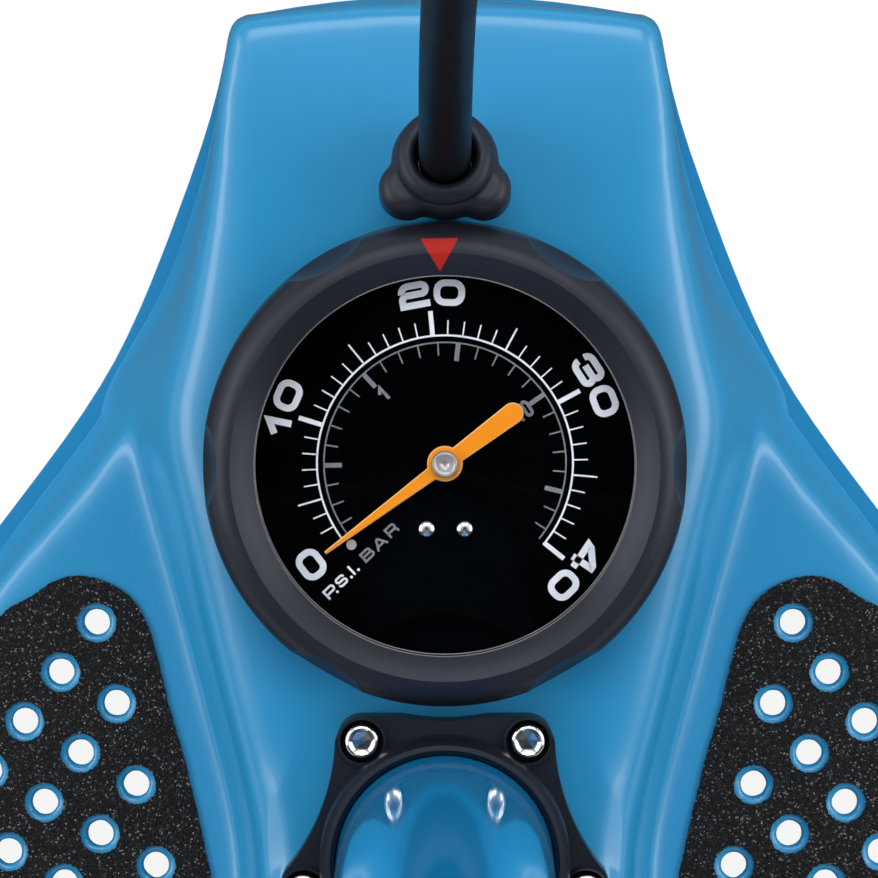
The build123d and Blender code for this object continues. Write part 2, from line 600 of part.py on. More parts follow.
def needle_cap():
    """Bright cap over the needle's hub."""
    cap = cyl(2.5, 48.8, 50.6, (0, GAUGE_Y)) - cyl(0.9, 40, 50, (0, GAUGE_Y))
    return fillet(cap.faces().sort_by(Axis.Z)[-1].edges(), 0.5)


# ---- hose fitting, hose and chuck ---------------------------------------------------------
def hose_spigot():
    """Hollow fitting from the manifold up into the hose."""
    body = cyl(6.0, -30, -8.0) + cyl(7.9, -8.8, -6.5) + cyl(4.8, -8, -5)
    body -= cyl(2.0, -40, 5)
    return tilted(body) - block((-20, 20), (90, 160), (0, 26))


def hose_nut():
    """Round nut on the hose fitting, with two finger lobes on the gauge's side."""
    body = cyl(NUT_R, NUT_LOW, NUT_TOP)
    for angle in LOBE_ANGLES:
        body += strap(((0, 0), polar(LOBE_REACH, angle)), LOBE_R, NUT_LOW, NUT_TOP)
    corners = [e for e in body.edges().filter_by(Axis.Z) if hypot(e.center().X, e.center().Y) < NUT_R + 1]
    body = fillet(corners, 3.0)
    body = fillet(body.faces().sort_by(Axis.Z)[-1].edges(), 2.8)
    return tilted(body - cyl(8.05, -12, 1))


def hose_boot():
    """Rounded ring that the hose comes out of."""
    boot = turned([(5.7, -0.4), (5.75, 0.5), (6.1, 0.95), (6.9, 1.1), (8.0, 0.8), (8.8, 0.1), (9.2, -1.2),
                   (9.0, NUT_TOP), (8.0, NUT_TOP), (8.0, -6.5), (4.9, -6.5), (4.9, -5.5), (5.3, -3)])
    return tilted(boot)


def hose_tube():
    """Hose along its route: straight runs joined by tangent arcs."""
    points = [Vector(p) for p in HOSE_ROUTE]
    radii = []
    for a, b, c in zip(points, points[1:], points[2:]):
        turn = radians((b - a).get_angle(c - b))
        radii.append(0.45 * min((b - a).length, (c - b).length) / tan(turn / 2))
    print("hose runs", [round((b - a).length) for a, b in zip(points, points[1:])])
    print("hose arc radii", [round(r) for r in radii])
    path = FilletPolyline(*points, radius=radii)
    section = Plane(points[0], z_dir=points[1] - points[0]) * Circle(HOSE_OD / 2)
    tube = sweep(section, path=path)
    area = pi * (HOSE_OD / 2) ** 2
    print("hose length", round(path.length, 1), "volume ratio", round(tube.volume / (area * path.length), 4))
    return tube


def chuck_parts():
    """Pump head: stem, ferrule, cross body, cap, grommet, lever and pin, about (CHUCK_X, 0)."""
    at = (CHUCK_X, 0)
    across = Pos(CHUCK_X, 0, CHUCK_Z) * Rot(-90, 0, 0)
    ferrule = turned([(HOSE_OD / 2, 326), (6.4, 326), (7.0, 324), (7.0, 306), (3.0, 306), (3.0, 314),
                      (HOSE_OD / 2, 314)], at)
    stem = turned([(0, CHUCK_Z - 9), (9.5, CHUCK_Z - 9), (9.5, CHUCK_Z + 12), (8.0, CHUCK_Z + 18), (8.0, 300),
                   (8.6, 303), (8.6, 306), (0, 306)], at)
    head = across * cyl(11, -17, 10)
    ears = block((CHUCK_X - 8, CHUCK_X + 8), (-26, -16), (CHUCK_Z - 5, CHUCK_Z + 5))
    body = stem + head + ears
    body -= block((CHUCK_X - 5.2, CHUCK_X + 5.2), (-30, -16.6), (CHUCK_Z - 8, CHUCK_Z + 8))
    pivot = Pos(CHUCK_X, -21.5, CHUCK_Z) * Rot(0, 90, 0)
    body -= pivot * cyl(1.5, -10, 10)
    body -= across * cyl(5.5, -8, 12) + cyl(2.0, CHUCK_Z, 310, at)
    cap = across * (turned([(6.2, 10), (11.4, 10), (11.8, 12), (11.8, 19), (10.4, 21), (6.2, 21)]))
    for i in range(12):
        x, z = polar(12.6, i * 30)
        cap -= across * cyl(1.4, 11, 19.5, (x, z))
    grommet = across * (ring(6.2, CHUCK_BORE, 10, 21) + ring(5.5, CHUCK_BORE, -4, 10))
    pin = pivot * cyl(1.45, -8, 8)
    lever = pivot * ring(4.4, 1.5, -4.9, 4.9)
    lever += block((CHUCK_X - 4.9, CHUCK_X + 4.9), (-25.5, -21.5), (CHUCK_Z, CHUCK_Z + 14))
    lever += block((CHUCK_X - 6.5, CHUCK_X + 6.5), (-25.5, -21.5), (CHUCK_Z + 12, CHUCK_Z + 56))
    lever -= pivot * cyl(1.5, -10, 10)
    lever = fillet(lever.edges().filter_by(Axis.Y).sort_by(Axis.Z)[-2:], 4.0)
    return ferrule, body, cap, grommet, pin, lever


def chuck_clip():
    """Band round the barrel with an arm and an open cradle for the chuck's stem."""
    at = (CHUCK_X, 0)
    body = ring(BARREL_R + 3.0, BARREL_R, CLIP_LOW, CLIP_TOP)
    body += block((22, 43.5), (-3.5, 3.5), (CLIP_LOW, CLIP_TOP))
    body -= cyl(8.05, CLIP_LOW - 1, CLIP_TOP + 1, at)
    mouth = block((CHUCK_X + 4, CHUCK_X + 20), (-20, 20), (200, 350))
    body += ring(10.8, 8.05, CLIP_LOW, CLIP_TOP, at) - mouth
    lug = block((-33, -21), (-6, 6), (CLIP_LOW, CLIP_TOP)) - cyl(BARREL_R, 200, 300)
    body += lug
    body -= block((-40, -15), (-1, 1), (200, 350))
    body -= Pos(-28, 0, 281) * Rot(-90, 0, 0) * cyl(2.05, -10, 10)
    return body


def clip_screw():
    """Screw and nut that close the clip's band."""
    across = Pos(-28, 0, 281) * Rot(-90, 0, 0)
    key = extrude(Pos(0, 0, 8) * RegularPolygon(1.9, 6), 3)
    screw = cyl(1.95, -10, 6) + cyl(3.4, 6, 9.4) - key
    nut = extrude(Pos(0, 0, -9) * RegularPolygon(3.9, 6), 3) - cyl(1.95, -12, 0)
    return across * screw, across * nut


# ---- rod, piston and handle ---------------------------------------------------------------
def piston_rod():
    """Hollow rod from the piston to the handle."""
    return ring(ROD_R, 4.6, PISTON_LOW, HANDLE_Z - 6)


def piston():
    """Piston with a groove for its seal."""
    body = ring(18.45, ROD_R + 0.06, PISTON_LOW, PISTON_LOW + 20)
    body -= ring(20, 15.5, PISTON_LOW + 6, PISTON_LOW + 10)
    return body


def piston_seal():
    """Seal ring that runs on the barrel's bore."""
    return ring(BARREL_BORE - 0.04, 15.5, PISTON_LOW + 6, PISTON_LOW + 10)


def rod_collars():
    """Two collars on the rod that hold the piston between them."""
    lower = ring(9.5, 4.6, PISTON_LOW - 2.6, PISTON_LOW - 0.08)
    upper = ring(9.5, ROD_R, PISTON_LOW + 20.08, PISTON_LOW + 24)
    return lower, upper


def handle_core():
    """T-shaped core: a hub on the rod and a round bar through the grips."""
    hub = block((-27, 27), (-17, 17), (HANDLE_Z - 17, HANDLE_Z + 17))
    hub = fillet(hub.edges().filter_by(Axis.X), 12)
    neck = turned([(0, 619), (13, 619), (14.5, 622), (14.5, HANDLE_Z - 14), (0, HANDLE_Z - 14)])
    bar = Pos(0, 0, HANDLE_Z) * Rot(0, 90, 0) * cyl(8, -HANDLE_HALF + 4, HANDLE_HALF - 4)
    body = hub + neck + bar
    body -= cyl(ROD_R, 600, HANDLE_Z - 6)
    body -= cyl(2.6, 600, HANDLE_Z + 20) + cyl(5.2, HANDLE_Z + 11, HANDLE_Z + 20)
    return body


def handle_grip(side):
    """Rubber sleeve on one arm of the handle, fuller in the palm and flared at its end."""
    sleeve = turned([(8, 27.2), (15.5, 27.2), (16.4, 30), (15.2, 36), (15.0, 44), (16.2, 58), (16.8, 72),
                     (16.2, 88), (15.0, 102), (16.4, 110), (17.4, 114), (16.6, 116), (8, 116)])
    return Pos(0, 0, HANDLE_Z) * Rot(0, 90 * side, 0) * sleeve


def end_caps():
    """Plugs in the bar's ends."""
    caps = []
    for side in (-1, 1):
        cap = cyl(16.0, 116, HANDLE_HALF)
        cap = fillet(cap.faces().sort_by(Axis.Z)[-1].edges(), 2.5)
        caps.append(Pos(0, 0, HANDLE_Z) * Rot(0, 90 * side, 0) * cap)
    return Compound(caps)


def handle_screw():
    """Screw down through the handle into the rod's top."""
    return socket_screw((0, 0), HANDLE_Z + 11, 5.0, 4.5, 2.5, 40)


def main():
    os.makedirs("parts", exist_ok=True)
    holes = deck_holes()
    print("deck holes per side", len(holes))
    write("base_casting", base_casting(holes))
    write("grip_tape_right", grip_tape(holes, 1))
    write("grip_tape_left", grip_tape(holes, -1))
    write("rubber_feet", rubber_feet())

    write("barrel_tube", ring(BARREL_R, BARREL_BORE, BARREL_LOW, BARREL_TOP))
    write("barrel_collar", barrel_collar())
    write("collar_screws", collar_screws())
    write("foot_plug", foot_plug())
    write("plug_seal", ring(BARREL_BORE, 16.8, 38, 41))
    ball, spring, retainer = check_valve()
    write("check_ball", ball)
    write("check_spring", spring)
    write("valve_retainer", retainer)
    write("barrel_cap", barrel_cap())
    write("rod_bush", rod_bush())
    write("rod_wiper", ring(10, ROD_R + 0.04, 606, 610))
    write("handle_bumper", ring(13, ROD_R + 0.8, 612, 618))

    write("air_manifold", air_manifold())
    write("passage_plug", passage_plug())
    write("manifold_screws", manifold_screws())

    write("gauge_housing", gauge_housing())
    write("gauge_bezel", gauge_bezel())
    write("bezel_marker", bezel_marker())
    write("lens_gasket", ring(41.0, 37.2, 51, LENS_LOW, (0, GAUGE_Y)))
    write("gauge_lens", cyl(41.0, LENS_LOW, LENS_TOP, (0, GAUGE_Y)))
    write("gauge_socket", gauge_socket())
    write("bourdon_tube", bourdon_tube())
    write("movement_plates", movement_plates())
    write("pinion_spindle", pinion_spindle())
    write("sector_gear", sector_gear())
    write("sector_shaft", sector_shaft())
    write("movement_link", movement_link())
    write("dial_plate", dial_plate())
    write("dial_screws", dial_screws())
    write("stop_pin", stop_pin())
    write("needle", needle())
    write("needle_cap", needle_cap())

    write("hose_spigot", hose_spigot())
    write("hose_nut", hose_nut())
    write("hose_boot", hose_boot())
    write("hose", hose_tube())
    ferrule, body, cap, grommet, pin, lever = chuck_parts()
    write("hose_ferrule", ferrule)
    write("chuck_body", body)
    write("chuck_cap", cap)
    write("chuck_grommet", grommet)
    write("lever_pin", pin)
    write("chuck_lever", lever)
    write("chuck_clip", chuck_clip())
    screw, nut = clip_screw()
    write("clip_screw", screw)
    write("clip_nut", nut)

    write("piston_rod", piston_rod())
    write("piston", piston())
    write("piston_seal", piston_seal())
    lower, upper = rod_collars()
    write("rod_end_collar", lower)
    write("rod_upper_collar", upper)
    write("handle_core", handle_core())
    write("grip_right", handle_grip(1))
    write("grip_left", handle_grip(-1))
    write("handle_end_caps", end_caps())
    write("handle_screw", handle_screw())


main()
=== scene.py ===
import itertools
import math

import bmesh
import bpy
import numpy as np
from mathutils import Matrix, Vector


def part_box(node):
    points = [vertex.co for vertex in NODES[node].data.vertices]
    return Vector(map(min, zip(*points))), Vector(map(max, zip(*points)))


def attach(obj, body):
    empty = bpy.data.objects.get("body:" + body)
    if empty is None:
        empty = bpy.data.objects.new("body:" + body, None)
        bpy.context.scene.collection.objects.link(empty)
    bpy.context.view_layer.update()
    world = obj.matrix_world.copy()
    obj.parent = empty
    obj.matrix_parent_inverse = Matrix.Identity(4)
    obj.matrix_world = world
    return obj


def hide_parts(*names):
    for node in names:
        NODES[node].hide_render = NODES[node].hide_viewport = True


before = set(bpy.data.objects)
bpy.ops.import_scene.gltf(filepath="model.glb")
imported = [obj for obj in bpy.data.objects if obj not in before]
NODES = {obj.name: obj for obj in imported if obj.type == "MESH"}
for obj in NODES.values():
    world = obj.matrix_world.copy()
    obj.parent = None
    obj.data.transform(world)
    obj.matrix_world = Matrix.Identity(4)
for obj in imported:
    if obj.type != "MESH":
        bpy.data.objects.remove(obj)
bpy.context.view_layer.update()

MM = 0.001
MICRON = 0.000001
WELD = 0.00001  # vertices nearer than this are one


def centre(node):
    """Middle of a CAD node's box."""
    low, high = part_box(node)
    return (low + high) / 2


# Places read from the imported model
GAUGE = centre("gauge_lens").to_2d()
DIAL_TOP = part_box("dial_plate")[1].z
BARREL = centre("barrel_tube").to_2d()
HANDLE = centre("handle_core")


# ---- objects ------------------------------------------------------------------------------
def linked(name, data):
    """New object in the scene."""
    obj = bpy.data.objects.new(name, data)
    bpy.context.scene.collection.objects.link(obj)
    return obj


def add(name, data, body="base", slot=None, replaces=()):
    """New piece that rides on a body."""
    obj = linked(name, data)
    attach(obj, body)
    if slot:
        obj.data.materials.append(MATERIALS[slot])
    if replaces:
        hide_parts(*replaces)
    return obj


def mesh(name, verts, faces, smooth=True, sharp=None, weld=None):
    """Mesh data from vertices in metres; sharp is an angle in degrees and weld a distance."""
    data = bpy.data.meshes.new(name)
    data.from_pydata([tuple(v) for v in verts], [], faces)
    data.validate()
    bm = bmesh.new()
    bm.from_mesh(data)
    if weld:
        bmesh.ops.remove_doubles(bm, verts=bm.verts, dist=weld)
    bmesh.ops.recalc_face_normals(bm, faces=bm.faces)
    bm.to_mesh(data)
    bm.free()
    data.polygons.foreach_set("use_smooth", [smooth] * len(data.polygons))
    if sharp:
        data.set_sharp_from_angle(angle=math.radians(sharp))
    return data


def evaluated(temp):
    """Final mesh of a helper object, which is then removed."""
    graph = bpy.context.evaluated_depsgraph_get()
    data = bpy.data.meshes.new_from_object(temp.evaluated_get(graph), depsgraph=graph)
    bpy.data.objects.remove(temp)
    return data


def lathe(profile, steps, place):
    """Closed solid of revolution about +Z: vertices and faces from (radius, height) points in mm."""
    verts, faces, n = [], [], len(profile)
    for i in range(steps):
        a = 2 * math.pi * i / steps
        for r, z in profile:
            verts.append(place @ Vector((r * MM * math.cos(a), r * MM * math.sin(a), z * MM)))
    for i in range(steps):
        j = (i + 1) % steps
        for k in range(n):
            m = (k + 1) % n
            faces.append((i * n + k, j * n + k, j * n + m, i * n + m))
    return verts, faces


# ---- materials ----------------------------------------------------------------------------
def new_material(name):
    """Material with its node tree and its shader."""
    mat = bpy.data.materials.new(name)
    mat.use_nodes = True
    return mat, mat.node_tree, mat.node_tree.nodes["Principled BSDF"]


def link(tree, a, b):
    """Joins an output to an input."""
    tree.links.new(a, b)


def noise(tree, scale, detail=3.0, rough=0.55, vector=None):
    """Noise texture in object space; scale is in features per metre."""
    node = tree.nodes.new("ShaderNodeTexNoise")
    node.inputs["Scale"].default_value = scale
    node.inputs["Detail"].default_value = detail
    node.inputs["Roughness"].default_value = rough
    if vector is None:
        vector = tree.nodes.new("ShaderNodeTexCoord").outputs["Object"]
    link(tree, vector, node.inputs["Vector"])
    return node.outputs["Fac"]


def ramp(tree, value, stops):
    """Colour ramp from (position, colour) stops."""
    node = tree.nodes.new("ShaderNodeValToRGB")
    while len(node.color_ramp.elements) < len(stops):
        node.color_ramp.elements.new(0.5)
    for element, (position, colour) in zip(node.color_ramp.elements, stops):
        element.position = position
        element.color = (*colour, 1)
    link(tree, value, node.inputs["Fac"])
    return node.outputs["Color"]


def spread(tree, value, low, high, start=0.3, end=0.7):
    """Value mapped from start..end to low..high."""
    node = tree.nodes.new("ShaderNodeMapRange")
    for name, number in (("From Min", start), ("From Max", end), ("To Min", low), ("To Max", high)):
        node.inputs[name].default_value = number
    link(tree, value, node.inputs["Value"])
    return node.outputs["Result"]


def bump(tree, value, microns):
    """Bump of a depth in micrometres."""
    node = tree.nodes.new("ShaderNodeBump")
    node.inputs["Strength"].default_value = 1.0
    node.inputs["Distance"].default_value = microns * MICRON
    link(tree, value, node.inputs["Height"])
    return node.outputs["Normal"]


def combined(tree, operation, first, second):
    """Two values put through one operation, such as MULTIPLY."""
    node = tree.nodes.new("ShaderNodeMath")
    node.operation = operation
    link(tree, first, node.inputs[0])
    link(tree, second, node.inputs[1])
    return node.outputs[0]


def mixed(tree, share, first, second):
    """Shader that goes from the first to the second as share goes from 0 to 1."""
    node = tree.nodes.new("ShaderNodeMixShader")
    link(tree, share, node.inputs["Fac"])
    link(tree, first, node.inputs[1])
    link(tree, second, node.inputs[2])
    return node.outputs["Shader"]


def surface(name, dark, light, rough, grain, microns, patch=18, metallic=0.0, coat=0.0, coat_rough=0.04,
            specular=0.5, tint=(1, 1, 1)):
    """Painted, moulded or metal surface: mottled colour, uneven roughness and a fine grain.

    The colour varies from dark to light and the roughness over the range rough. patch and grain are the
    mottling's and the grain's features per metre, and microns is the grain's depth."""
    mat, tree, shader = new_material(name)
    shader.inputs["Metallic"].default_value = metallic
    shader.inputs["Coat Weight"].default_value = coat
    shader.inputs["Coat Roughness"].default_value = coat_rough
    shader.inputs["Specular IOR Level"].default_value = specular
    shader.inputs["Specular Tint"].default_value = (*tint, 1)
    mottling = ramp(tree, noise(tree, patch), [(0.35, dark), (0.65, light)])
    link(tree, mottling, shader.inputs["Base Color"])
    link(tree, spread(tree, noise(tree, patch * 4, 4.0), *rough), shader.inputs["Roughness"])
    link(tree, bump(tree, noise(tree, grain, 2.0), microns), shader.inputs["Normal"])
    return mat


def grit_material():
    """Coarse black grit: grains of random tone, the brightest few painted glints."""
    mat, tree, shader = new_material("grip_tape")
    shader.inputs["Specular IOR Level"].default_value = 0.3
    coords = tree.nodes.new("ShaderNodeTexCoord").outputs["Object"]
    grains = tree.nodes.new("ShaderNodeTexVoronoi")
    grains.inputs["Scale"].default_value = 3300
    grains.inputs["Randomness"].default_value = 1.0
    link(tree, coords, grains.inputs["Vector"])
    pick = tree.nodes.new("ShaderNodeSeparateColor")
    link(tree, grains.outputs["Color"], pick.inputs["Color"])
    # Random tone of the grains; the brightest few, near white, are painted glints
    grit_tone_and_glints = ramp(tree, pick.outputs["Red"], [
        (0.0, (0.002, 0.002, 0.003)), (0.6, (0.005, 0.005, 0.007)), (0.84, (0.017, 0.017, 0.019)),
        (0.94, (0.06, 0.058, 0.058)), (1.0, (0.32, 0.31, 0.3))])
    link(tree, grit_tone_and_glints, shader.inputs["Base Color"])
    link(tree, spread(tree, pick.outputs["Green"], 0.35, 0.9, 0.0, 1.0), shader.inputs["Roughness"])
    height = tree.nodes.new("ShaderNodeMath")
    height.operation = "MULTIPLY_ADD"
    link(tree, grains.outputs["Distance"], height.inputs[0])
    height.inputs[1].default_value = -0.9
    link(tree, noise(tree, 900, 4.0, 0.7, coords), height.inputs[2])
    link(tree, bump(tree, height.outputs[0], 600), shader.inputs["Normal"])
    return mat


def glass_material():
    """Clear lens that lets the lamps through."""
    mat, tree, shader = new_material("clear_lens")
    shader.inputs["Transmission Weight"].default_value = 1.0
    shader.inputs["IOR"].default_value = 1.12
    haze = ramp(tree, noise(tree, 40), [(0.3, (0.985, 0.99, 0.99)), (0.7, (1, 1, 1))])
    link(tree, haze, shader.inputs["Base Color"])
    link(tree, spread(tree, noise(tree, 120, 5.0), 0.0, 0.03), shader.inputs["Roughness"])
    shadow_ray = tree.nodes.new("ShaderNodeLightPath").outputs["Is Shadow Ray"]
    clear = tree.nodes.new("ShaderNodeBsdfTransparent").outputs["BSDF"]
    link(tree, mixed(tree, shadow_ray, shader.outputs["BSDF"], clear),
         tree.nodes["Material Output"].inputs["Surface"])
    return mat


def turned_metal():
    """Silvery metal with fine rings round the gauge's axis, as a lathe leaves."""
    mat = surface("turned_metal", (0.36, 0.335, 0.33), (0.46, 0.43, 0.42), (0.3, 0.4), 900, 2, metallic=0.7)
    tree = mat.node_tree
    centred = tree.nodes.new("ShaderNodeVectorMath")
    centred.operation = "SUBTRACT"
    link(tree, tree.nodes.new("ShaderNodeTexCoord").outputs["Object"], centred.inputs[0])
    centred.inputs[1].default_value = (GAUGE.x, GAUGE.y, 0)
    rings = tree.nodes.new("ShaderNodeTexWave")
    rings.wave_type = "RINGS"
    rings.rings_direction = "Z"
    rings.inputs["Scale"].default_value = 900
    rings.inputs["Distortion"].default_value = 0.4
    link(tree, centred.outputs[0], rings.inputs["Vector"])
    link(tree, bump(tree, rings.outputs["Fac"], 20), tree.nodes["Principled BSDF"].inputs["Normal"])
    return mat


# The record's material slots
MATERIALS = {
    "base_paint": surface(
        "base_paint", (0.016, 0.286, 0.58), (0.018, 0.298, 0.60), (0.28, 0.31), 260, 1, patch=9, coat=0.35,
        coat_rough=0.17),
    "barrel_paint": surface(
        "barrel_paint", (0.010, 0.285, 0.65), (0.012, 0.297, 0.67), (0.05, 0.07), 260, 1, patch=9,
        specular=0.3),
    "grip_tape": grit_material(),
    "black_casting": surface(
        "black_casting", (0.006, 0.008, 0.013), (0.010, 0.012, 0.018), (0.36, 0.46), 2600, 30, specular=0.4,
        tint=(0.72, 0.8, 1.0)),
    "black_plastic": surface(
        "black_plastic", (0.010, 0.011, 0.017), (0.015, 0.016, 0.023), (0.36, 0.44), 2200, 20, specular=0.4,
        tint=(0.8, 0.84, 1.0)),
    "black_rubber": surface(
        "black_rubber", (0.012, 0.012, 0.014), (0.018, 0.018, 0.02), (0.5, 0.62), 1800, 30),
    "grip_rubber": surface(
        "grip_rubber", (0.016, 0.016, 0.018), (0.024, 0.024, 0.026), (0.55, 0.68), 1500, 40),
    "hose_rubber": surface(
        "hose_rubber", (0.004, 0.005, 0.009), (0.006, 0.007, 0.012), (0.4, 0.5), 1500, 10, specular=0.12),
    "screw_chrome": surface(
        "screw_chrome", (0.76, 0.76, 0.77), (0.86, 0.86, 0.87), (0.1, 0.16), 900, 2, metallic=1.0),
    "rod_steel": surface(
        "rod_steel", (0.55, 0.56, 0.57), (0.66, 0.67, 0.68), (0.18, 0.3), 1200, 4, metallic=1.0),
    "brass": surface(
        "brass", (0.68, 0.46, 0.17), (0.76, 0.54, 0.22), (0.2, 0.34), 1500, 6, metallic=1.0),
    "cast_aluminium": surface(
        "cast_aluminium", (0.48, 0.49, 0.5), (0.6, 0.61, 0.62), (0.4, 0.55), 1400, 30, metallic=1.0),
    "dial_print": surface(
        "dial_print", (0.0003, 0.0004, 0.0006), (0.0006, 0.0008, 0.0011), (0.7, 0.8), 1500, 4,
        specular=0.0),
    "needle_paint": surface(
        "needle_paint", (0.66, 0.205, 0.002), (0.7, 0.22, 0.003), (0.5, 0.6), 1600, 2, specular=0.2),
    "marker_red": surface(
        "marker_red", (0.45, 0.016, 0.012), (0.5, 0.02, 0.015), (0.5, 0.6), 1600, 4, specular=0.2),
    "clear_lens": glass_material(),
}
# Finishes of small pieces, beside those of the slots, among them a painted highlight and a painted
# reflection
# Paler orange of the needle's bevel: a painted highlight
NEEDLE_HIGHLIGHT = surface("needle_highlight", (0.74, 0.4, 0.13), (0.8, 0.46, 0.18), (0.3, 0.4), 1600, 2)
# Grey of the thin rings round the lens: a painted reflection of the glass's edges
LENS_REFLECTION = surface(
    "lens_edge", (0.12, 0.12, 0.13), (0.18, 0.18, 0.19), (0.2, 0.3), 1600, 2, specular=0.6)
PRINT_LIGHT = surface("print_light", (0.56, 0.61, 0.68), (0.66, 0.70, 0.77), (0.3, 0.4), 4000, 3)
PRINT_GREY = surface("print_grey", (0.13, 0.14, 0.165), (0.17, 0.18, 0.205), (0.3, 0.4), 4000, 3)
TURNED_METAL = turned_metal()


def dress_nodes():
    """Gives every CAD node the material of its slot."""
    for node in NODES.values():
        for i, material in enumerate(node.data.materials):
            node.data.materials[i] = MATERIALS[material.name.split(".")[0]]
    NODES["stop_pin"].data.materials[0] = TURNED_METAL


# ---- camera -------------------------------------------------------------------------------
CAMERA_PLACE = Vector((0, 0.1612, 1.5443))
CAMERA_AIM = Vector((-0.0011, 0.0352, 0.0496))
FOCAL_LENGTH = 331.5
SENSOR_WIDTH = 36


def make_camera():
    """Camera high over the gauge that looks nearly straight down, with +Y upwards in its picture."""
    data = bpy.data.cameras.new("camera")
    data.sensor_width = SENSOR_WIDTH
    data.lens = FOCAL_LENGTH
    data.clip_start = 0.05
    data.clip_end = 100
    camera = linked("camera", data)
    camera.location = CAMERA_PLACE
    back = (CAMERA_PLACE - CAMERA_AIM).normalized()
    right = Vector((0, 1, 0)).cross(back).normalized()
    camera.rotation_euler = Matrix((right, back.cross(right), back)).transposed().to_euler()
    bpy.context.scene.camera = camera


# ---- hose ---------------------------------------------------------------------------------
HOSE_RADIUS = 0.00485
HOSE_POINTS = [
    (0, 0.0867, 0.0512), (0, 0.1165, 0.143), (0.003, 0.1405, 0.235), (0.012, 0.1505, 0.330),
    (0.036, 0.1475, 0.420), (0.072, 0.1285, 0.500), (0.106, 0.0885, 0.548), (0.121, 0.0365, 0.553),
    (0.119, -0.0115, 0.512), (0.098, -0.0375, 0.440), (0.052, -0.0435, 0.378), (0.052, -0.0435, 0.314)]


def make_hose():
    """Hose along part.py's route.
"""
    curve = bpy.data.curves.new("pump_hose", "CURVE")
    curve.dimensions = "3D"
    spline = curve.splines.new("NURBS")
    spline.points.add(len(HOSE_POINTS) - 1)
    for point, place in zip(spline.points, HOSE_POINTS):
        point.co = (*place, 1)
        point.radius = HOSE_RADIUS
    spline.order_u = 3
    spline.use_endpoint_u = True
    spline.resolution_u = 24
    curve.bevel_depth = 1.0
    curve.bevel_resolution = 12
    curve.use_fill_caps = True
    return add("pump_hose", curve, "base", "hose_rubber", ["hose"])


# ---- stage and light ----------------------------------------------------------------------
def white_rays(tree):
    """1 for rays that the camera sees directly, in gloss or through glass."""
    path = tree.nodes.new("ShaderNodeLightPath").outputs
    total = path["Is Camera Ray"]
    for name in ("Is Glossy Ray", "Is Transmission Ray"):
        total = combined(tree, "MAXIMUM", total, path[name])
    return total


def matt(tree, grey):
    """Plain matt shader."""
    node = tree.nodes.new("ShaderNodeBsdfDiffuse")
    node.inputs["Color"].default_value = (grey, grey, grey, 1)
    return node.outputs["BSDF"]


def floor_material():
    """Pale floor, white to the eye, that keeps a faint shadow; nothing from below.

    In gloss it is dark close to the object, a painted shadow, and white further off."""
    mat, tree, shader = new_material("floor")
    tree.nodes.remove(shader)
    geometry = tree.nodes.new("ShaderNodeNewGeometry").outputs
    away = tree.nodes.new("ShaderNodeVectorMath")
    away.operation = "DISTANCE"
    link(tree, geometry["Position"], away.inputs[0])
    away.inputs[1].default_value = (0, 0.02, 0)
    near = spread(tree, away.outputs["Value"], 0.96, 0.0, 0.16, 0.6)
    glossy_ray = tree.nodes.new("ShaderNodeLightPath").outputs["Is Glossy Ray"]
    glow = tree.nodes.new("ShaderNodeEmission")
    glow.inputs["Strength"].default_value = 0.9
    white = tree.nodes.new("ShaderNodeAddShader")
    link(tree, matt(tree, 0.16), white.inputs[0])
    link(tree, glow.outputs["Emission"], white.inputs[1])
    # Painted shadow: in gloss the floor turns a dark grey close to the object
    painted_shadow_in_gloss = combined(tree, "MULTIPLY", near, glossy_ray)
    seen = mixed(tree, painted_shadow_in_gloss, white.outputs["Shader"], matt(tree, 0.09))
    upper = mixed(tree, white_rays(tree), matt(tree, 0.8), seen)
    clear = tree.nodes.new("ShaderNodeBsdfTransparent").outputs["BSDF"]
    link(tree, mixed(tree, geometry["Backfacing"], upper, clear),
         tree.nodes["Material Output"].inputs["Surface"])
    return mat


def make_floor():
    """Wide floor a little below the feet, which isn't part of the object."""
    reach, height = 30, -0.0002
    corners = [(-reach, -reach, height), (reach, -reach, height), (reach, reach, height),
               (-reach, reach, height)]
    data = bpy.data.meshes.new("floor")
    data.from_pydata(corners, [], [(0, 1, 2, 3)])
    data.materials.append(floor_material())
    floor = linked("floor", data)


def make_world():
    """Studio walls that the eye and gloss see, brighter in front and low down, and an even fill light."""
    world = bpy.data.worlds.new("studio")
    bpy.context.scene.world = world
    world.use_nodes = True
    tree = world.node_tree
    tree.nodes.remove(tree.nodes["Background"])
    direction = tree.nodes.new("ShaderNodeSeparateXYZ")
    link(tree, tree.nodes.new("ShaderNodeTexCoord").outputs["Generated"], direction.inputs["Vector"])
    tone = ramp(tree, direction.outputs["Z"], [
        (0.0, (1, 1, 1)), (0.1, (1, 1, 1)), (0.3, (0.5, 0.5, 0.51)), (0.6, (0.45, 0.45, 0.46)),
        (0.86, (0.7, 0.7, 0.71)), (0.965, (0.85, 0.85, 0.86)), (0.992, (0.01, 0.01, 0.011))])
    in_front = spread(tree, direction.outputs["Y"], 0.15, 1.0, -0.3, 0.25)
    low_down = spread(tree, direction.outputs["Z"], 1.0, 0.0, 0.12, 0.22)
    scaled = tree.nodes.new("ShaderNodeVectorMath")
    scaled.operation = "SCALE"
    link(tree, tone, scaled.inputs[0])
    link(tree, combined(tree, "MAXIMUM", in_front, low_down), scaled.inputs["Scale"])
    walls = tree.nodes.new("ShaderNodeBackground")
    link(tree, scaled.outputs[0], walls.inputs["Color"])
    fill = tree.nodes.new("ShaderNodeBackground")
    fill.inputs["Color"].default_value = (1, 1, 1, 1)
    fill.inputs["Strength"].default_value = 0.3
    link(tree, mixed(tree, white_rays(tree), fill.outputs["Background"], walls.outputs["Background"]),
         tree.nodes["World Output"].inputs["Surface"])


